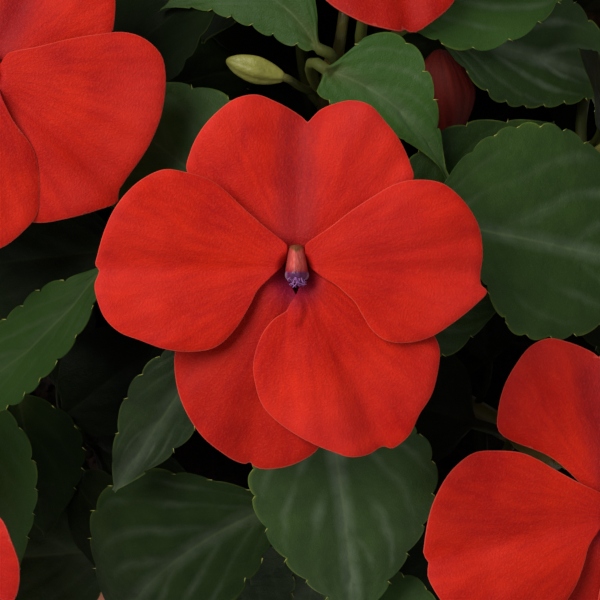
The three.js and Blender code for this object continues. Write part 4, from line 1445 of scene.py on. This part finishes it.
def column(name, stand):
    points, down, side, flat_map = [], [], [], []
    for u, middle, half, bulge in smooth_path(np.array(COLUMN), COLUMN_RINGS - 1):
        for i in range(COLUMN_SIDES):
            a = 2 * math.pi * i / COLUMN_SIDES
            ridge = 1 + (0.05 * math.cos(5 * a + 0.5) if u > -0.6 else 0.045 * math.sin(9 * a))
            deep = (bulge - COLUMN_FOOT) / 2
            out = COLUMN_FOOT + deep + deep * ridge * math.cos(a)
            points.append((middle + half * ridge * math.sin(a), u, out))
            down.append((COLUMN_TOP - u) / COLUMN_TALL)
            side.append(abs(math.sin(a)))
            flat_map.append((i / COLUMN_SIDES, u))
    faces, numbers = ring_faces(COLUMN_RINGS, COLUMN_SIDES), {"down": down, "side": side}
    return shape(name, stand.place(points), faces, column_flesh, numbers, flat_map)


settle(column("column", fullest), "column", "flower_column")

dust = strewer("strew_pollen", violet_pollen, (0.5, 0.5, 0.5), (1.3, 1.3, 1.3))
MOUTH = ((-0.8, 2.8), (-0.4, 3.4), (0, 3.6), (0.5, 3.4), (1.1, 2.8))  # below the hood
lip = [(x, u, n) for u in np.linspace(-1.5, -2.5, 5) for x, n in MOUTH]
lip = [(x * (1 + 0.3 * math.sin(7 * u + x)), u, n + 0.6 * (u + 1.5)) for x, u, n in lip]
strips = [(k, k + 1, k + 6, k + 5) for k in range(20) if k % 5 < 4]
patch = bare_mesh("pollen_patch", fullest.place(lip), faces=strips)
settle(dust.run("pollen", patch, Density=1.6e7, Size=0.12 * MM, Seed=7), "column")

# %% Pollen threads
# Threads hang and curl below the hood. Each starts inside its mouth and wanders down.
chance = np.random.default_rng(5)
threads = []
for k in range(26):
    x, n = chance.uniform(-0.8, 1.1), chance.uniform(2.4, 3.7)
    fall = chance.uniform(0.3, 1.25)
    corners = [(x, -1.3, n), (x * 1.1 + chance.normal(0, 0.25), -1.5 - fall * 0.5, n + 0.25)]
    corners.append((x * 1.15 + chance.normal(0, 0.5), -1.5 - fall, n + chance.normal(0, 0.2)))
    threads.append((fullest.place(smooth_path(corners, 8)), np.linspace(0.085, 0.05, 9)))
settle(stalks("pollen_threads", threads, violet_pollen, 6), "column")
print("pollen threads:", len(threads))

# %% [markdown]
# ## Flower stalks
#
# A stalk rises from the very end of its shoot, hooks over behind the flower and meets the funnel
# from above. It comes out of the same recipe as the shoots.

# %% Stalk of the fullest flower


def flower_stalk(name, stand, shoot, off_axis):
    path = SHOOTS[shoot]
    leave = unit(path[-1] - path[-2])
    hook, end = stand.place([(0, off_axis + 3.4, -6.6), (0, off_axis - 0.4, -4.7)])
    start = path[-1] - leave * 0.4
    lead = start + leave * np.linalg.norm(hook - start) * 0.3
    flared = 0.35 * np.exp(-np.linspace(0, 6, 31)) + 0.25 * np.exp(-np.linspace(8, 0, 31))
    girths = 0.75 * (1 + flared)
    return stalks(name, [(smooth_path([start, lead, hook, end], 30), girths)], stalk_skin, 12)


settle(flower_stalk("flower_stalk", fullest, "front", 2.9), "stem", "flower_pedicel")

# %% [markdown]
# ## The other open flowers
#
# They are the same flower seen from other sides. Each stands on its own shoot with its own
# facing, turn and size, and its folds are shifted by a seed, so that no two are alike. A coarser
# net is enough for them.

# %% Open flowers all round
# Shoot, facing, turn, turn of the spur, size, and the throat where it isn't on the dome.
OPEN_FLOWERS = {
    "top_left": ("left", (-6, 52), -24, -30, 1, front([-43.8, 27.2, -11])),
    "top": ("top", (5, 76), 18, 120, 0.94, front([11.5, 59.2, -27])),
    "right_low": ("right_low", (6, 46), 8, 60, 1, front([45.9, -34.9, -14])),
    "left_low": ("left_low", (-42, 34), 4, 0, 0.94, front([-59.8, -37, -33])),
    "right": ("right", (116, 28), 0, 0, 0.92, None),
    "left": ("back_left", (-118, 36), 12, 0, 0.94, None),
    "back_right": ("back_right", (152, 14), -8, 0, 0.9, None),
    "back": ("back", (178, 46), 25, 0, 0.94, None),
}
OWN_SHADE = 0.14  # how much more painted shade they get than the fullest one
OWN_PETALS = {
    "top_left": {
        "upper": {"turn": 6, "wide": 0.87},
        "right": {"turn": -5, "long": 0.97, "wide": 1.38},
        "lower_right": {"turn": -10, "long": 0.96, "wide": 0.9, "lift": 2.4},
    },
    "right_low": {"left": {"long": 1.03}, "upper": {"turn": -2, "long": 1.1, "wide": 0.97}},
}
for index, (key, (shoot, facing, turn, spur, size, at)) in enumerate(OPEN_FLOWERS.items()):
    axes, own = slope_axes(*facing), OWN_PETALS.get(key, {})
    throat = DOME_CENTRE + DOME_RADIUS * axes[2] if at is None else at
    stand = Stand(throat, axes, turn, size)
    forms = [petal_form(petal, 0.9, seed=index + 1.3, **own.get(petal, {})) for petal in PETALS]
    points, faces = together(*[(p, f) for p, f, _, _ in forms])
    numbers = {name: np.concatenate([n[name] for _, _, n, _ in forms]) for name in forms[0][2]}
    numbers["shade"] = numbers["shade"] + OWN_SHADE
    uv = np.vstack([uv for *_, uv in forms])
    petals = shape(f"{key}_petals", stand.place(points), faces, velvet, numbers, uv)
    settle(petals, "petal", f"flower_{key}")
    settle(nectary(f"{key}_nectary", stand, spur), "petal")
    settle(column(f"{key}_column", stand), "column")
    settle(flower_stalk(f"{key}_stalk", stand, shoot, 0.6), "stem")
print("open flowers:", 1 + len(OPEN_FLOWERS))

# %% [markdown]
# ## Buds and a seed capsule
#
# Between the leaves hang a red bud, a green one that has just formed, and a ridged green capsule
# that will burst when it is ripe. All three are spindles: one profile spun, with five lengthwise
# swellings.

# %% Spindles
# Shoot, how far down it, foot, tip, radius, skin and slot.
SPINDLES = {
    "seed_capsule": ("top", 0.6, [-1.5, 27.8, -25], [-10.2, 30.4, -25], 1.95, sepal_skin, "sepal"),
    "flower_bud": ("right", 3, [22.5, 19.5, -35], [21, 32.5, -31.5], 4.3, bud_skin, "petal"),
    "flower_bud_small": ("left", 4, [-24, 24, -33], [-21, 31, -30], 2.2, sepal_skin, "sepal"),
}
SPINDLE_TURNS = 30
SPINDLE_PROFILE = [
    (0.04, 0), (0.4, 0.06), (0.85, 0.3), (1, 0.5), (0.75, 0.78), (0.25, 0.97), (0.02, 1),
]
lines = []
for name, (shoot, spot, foot, tip, radius, skin, slot) in SPINDLES.items():
    foot, tip = front(foot), front(tip)
    length = np.linalg.norm(tip - foot)
    profile = smooth_path(SPINDLE_PROFILE, 24) * (radius, length)
    profile[0, 0] = profile[-1, 0] = 0.02
    closed = [(0.01, 0.3), *profile, (0.01, length - 0.3)]
    points, faces = spun(closed, SPINDLE_TURNS, lambda a, r, z: 0.1 * r * math.cos(5 * a))
    aim = Vector((0, 0, 1)).rotation_difference(Vector(tip - foot)).to_matrix()
    points = foot + np.array(points) @ np.array(aim).T
    round_about = np.repeat(np.arange(SPINDLE_TURNS) / SPINDLE_TURNS, len(closed))
    uv = np.column_stack([round_about, points @ unit(tip - foot) / 10])
    made = shape(f"{name}_body", points, faces, skin, flat_map=uv)
    settle(made, slot, name)
    start, leave = side_stalk(shoot, spot, foot)
    lead = start + leave * np.linalg.norm(foot - start) * 0.3
    lines.append((smooth_path([start, lead, foot, foot + (tip - foot) * 0.15], 20), 0.6))
settle(stalks("bud_stalks", lines, stalk_skin, 10), "stem")
print("spindles:", list(SPINDLES))

# %% [markdown]
# ## Teeth on the margins
#
# In every notch of a leaf's margin stands a hair-like tooth that leans towards the tip. There are
# hundreds, so each is only a slim cone, and a recipe stands one on every point of a cloud, turned
# the way that the point says.

# %% Teeth
bristle = Recipe("teeth", Long="NodeSocketFloat", Thick="NodeSocketFloat")
hair = bristle.node(
    "GeometryNodeMeshCone", {"fill_type": "NGON"},
    {
        "Vertices": 5, "Radius Top": 0.01 * MM, "Radius Bottom": bristle.given("Thick"),
        "Depth": bristle.given("Long"),
    },
)
way = bristle.named("way", "FLOAT_VECTOR")
lean = bristle.node("FunctionNodeAlignRotationToVector", {"axis": "Z"}, {"Vector": way})
stood = bristle.node(
    "GeometryNodeInstanceOnPoints", {},
    {"Points": bristle.given(), "Instance": hair, "Rotation": lean},
)
bristle.close(stood, sepal_skin)

notches = bare_mesh("notches", [place - way * 0.3 for place, way in teeth])
store(notches, "way", [way for _, way in teeth])
settle(bristle.run("leaf_teeth", notches, Long=0.8 * MM, Thick=0.085 * MM), "leaf")
print("teeth:", len(teeth))

# %% [markdown]
# ## Leaves inside the plant
#
# Between the outer leaves you look onto more leaves, painted dark as shade, all the way in to the
# shoots. Nobody would place these by hand. One coarse leaf is the pattern, over a thousand places
# round the shoots are drawn by chance from a fixed seed, and a place is kept only if a leaf there
# touches nothing else. A search tree of every mesh answers that question quickly, and a recipe then
# sets the pattern on the places that are left.

# %% The pattern leaf and its recipe
PATTERN_FOOT = np.array([11.0, 0.0, 3.0])  # where its blade starts, from the start of its stalk
pattern_stalk = np.zeros(3), unit(np.array([1.0, 0.0, 0.6]))
pattern_points, pattern_faces, numbers, _ = leaf_form(
    np.eye(3), PATTERN_FOOT, 0, -6, 30, 21, pattern_stalk, rows=26, seed=2.0, droop=32
)
every = np.ones(len(pattern_points))
numbers |= {"fresh": 0.1 * every, "dusty": 0.25 * every}  # each place has a "deep" of its own, its painted shade
pattern = shape("pattern_leaf", pattern_points, pattern_faces, old_leaf_skin, numbers)
print("pattern faces:", len(pattern_faces))

crowd = Recipe("inner_leaves", Leaf="NodeSocketObject")
source = {"Object": crowd.given("Leaf")}
leaf_shape = crowd.node("GeometryNodeObjectInfo", {}, source, out="Geometry")
standing = crowd.node(
    "GeometryNodeInstanceOnPoints", {},
    {
        "Points": crowd.given(), "Instance": leaf_shape, "Scale": crowd.named("size"),
        "Rotation": crowd.named("turn", "FLOAT_VECTOR"),
    },
)
shaded = crowd.node(
    "GeometryNodeStoreNamedAttribute", {"domain": "INSTANCE"},
    {"Geometry": standing, "Name": "deep", "Value": crowd.named("darkness")},
)
crowd.close(shaded, old_leaf_skin)

# %% Free places
STALK_FREE = 4  # the first millimetres of a stalk may touch, because they stand in the shoot
BACK_LIMIT, FRONT_LIMIT = 76, 60  # how far from the dome's centre a leaf may reach
FRONT_CONE = 0.6  # cosine of the angle round the front's outward axis where the front's limit holds
# Over the pot's rim no leaf hangs below the first height. Nearer the middle than the first reach
# it may hang to the second height, and further out than the second reach to the third.
OVER_RIM, IN_MOUTH, OUTSIDE = 94, 87, 62
MOUTH_REACH, RIM_REACH = 47, 58
chance = np.random.default_rng(11)
graph = bpy.context.evaluated_depsgraph_get()
low_box, high_box = np.array(cad_box) / MM


def corners_of(mesh):
    """The lowest and the highest corner of a mesh's box."""
    flat = np.zeros(len(mesh.vertices) * 3, np.float32)
    mesh.vertices.foreach_get("co", flat)
    flat = flat.reshape(-1, 3)
    return flat.min(axis=0), flat.max(axis=0)


taken = []  # lowest corner, highest corner, search tree
for piece in bpy.data.objects:
    if piece.type == "MESH" and piece not in (floor, pattern) and piece.name not in frame["nodes"]:
        taken.append((*corners_of(piece.data), BVHTree.FromObject(piece, graph)))
blade_faces = [f for f in pattern_faces if pattern_points[list(f)].mean(axis=0)[0] > STALK_FREE]


def free_leaf(start, forward, outward, size, front_limit):
    """The turned pattern's box, tree and turn if it keeps clear of everything, or None."""
    across = unit(np.cross(outward, forward))
    turn = np.array([forward, across, np.cross(forward, across)])
    points = start + size * pattern_points @ turn
    reach, height = np.hypot(points[:, 0], points[:, 1]), points[:, 2]
    above = (height > OVER_RIM) | ((reach < MOUTH_REACH) & (height > IN_MOUTH))
    above |= (reach > RIM_REACH) & (height > OUTSIDE)
    out = np.linalg.norm(points - DOME_CENTRE, axis=1)
    facing = (points - DOME_CENTRE) @ FRONT[2] / out
    if not above.all() or (points < low_box + 1).any() or (points > high_box - 1).any():
        return None
    if (out > np.where(facing > FRONT_CONE, front_limit, BACK_LIMIT)).any():
        return None
    metres = points * MM
    low, high = metres.min(axis=0), metres.max(axis=0)
    tree = BVHTree.FromPolygons(metres.tolist(), blade_faces)
    for its_low, its_high, its_tree in taken:
        if (low < its_high).all() and (its_low < high).all() and tree.overlap(its_tree):
            return None
    return low, high, tree, Matrix(turn.T.tolist()).to_euler()


def leaf_place(shoot, share, angle, rise):
    """Where a leaf leaves its shoot, the way it points, and the way out of the plant there."""
    path = SHOOTS[shoot]
    k = int(share * 99)
    ahead = unit(path[k + 1] - path[k])
    outward = unit(path[k] - DOME_CENTRE + (0, 0, 22))
    east = unit(np.cross(outward, (0.1, 0.3, 1.0)))
    spoke = math.cos(angle) * east + math.sin(angle) * np.cross(outward, east)
    forward = unit(spoke + rise * outward)
    aside = unit(forward - ahead * (forward @ ahead))
    return path[k] + aside * (np.interp(share, [0, 1], BRANCH_RADIUS) - 0.5), forward, outward


def leaves_inside(shoot, draws, wanted, front_limit):
    """Start, turn, size and blade centre of each drawn leaf that finds a free place."""
    places = []
    for share, angle, rise, size in draws:
        start, forward, outward = leaf_place(shoot, share, angle, rise)
        found = free_leaf(start, forward, outward, size, front_limit)
        if found and len(places) < wanted:
            taken.append(found[:3])
            places.append((start, found[3], size, (found[0] + found[1]) / 2 / MM))
    return places


print("search trees:", len(taken))

# %% Fill the inside
CURTAIN = {  # more leaves, chosen where daylight still showed through: share, angle, rise, size
    "right_low": [
        (0.747, 0.896, 0.243, 1.075), (0.933, 2.392, 0.172, 0.42), (0.899, 2.371, 0.287, 0.42),
    ],
    "back_right": [
        (0.859, 1.667, 0.328, 0.721), (0.973, 2.411, 1.028, 0.846), (0.978, 1.418, 0.222, 0.619),
    ],
    "left": [(0.958, -1.776, 0.353, 0.968)],
    "left_low": [(0.806, 2.881, 0.367, 0.766)],
    "top": [(0.688, -1.595, 0.862, 0.599)],
    "back": [(0.84, -2.483, -0.214, 0.476)],
    "right": [
        (0.852, -2.626, 0.365, 0.518), (0.597, 3.048, 0.692, 0.78),
        (0.762, -2.497, 0.42, 0.537), (0.988, -1.076, 1.628, 0.561),
    ],
}
LEAST, MOST = (0.2, 0, -0.3, 0.62), (0.99, 2 * math.pi, 0.7, 1.05)  # share, angle, rise, size
DRAWS, WANTED = 160, 9  # for each shoot
SHADE_REACH, INNER_SHADE = (46, 76), (0.95, 0.7)  # far from the dome's centre, leaves get less painted shade
drawn = {
    shoot: leaves_inside(shoot, chance.uniform(LEAST, MOST, (DRAWS, 4)), WANTED, FRONT_LIMIT)
    for shoot in SHOOTS
}
for shoot, places in drawn.items():
    more = CURTAIN.get(shoot, ())
    places += leaves_inside(shoot, more, len(more), BACK_LIMIT)
    base = bare_mesh(f"places_{shoot}", [start for start, *_ in places])
    store(base, "turn", [tuple(turn) for _, turn, *_ in places])
    store(base, "size", [size for *_, size, _ in places])
    away = [np.linalg.norm(centre - DOME_CENTRE) for *_, centre in places]
    store(base, "darkness", np.interp(away, SHADE_REACH, INNER_SHADE))
    settle(crowd.run(f"inner_leaves_{shoot}", base, Leaf=pattern), "leaf")
    print(shoot, "has", len(places), "leaves inside")
bpy.data.objects.remove(pattern)
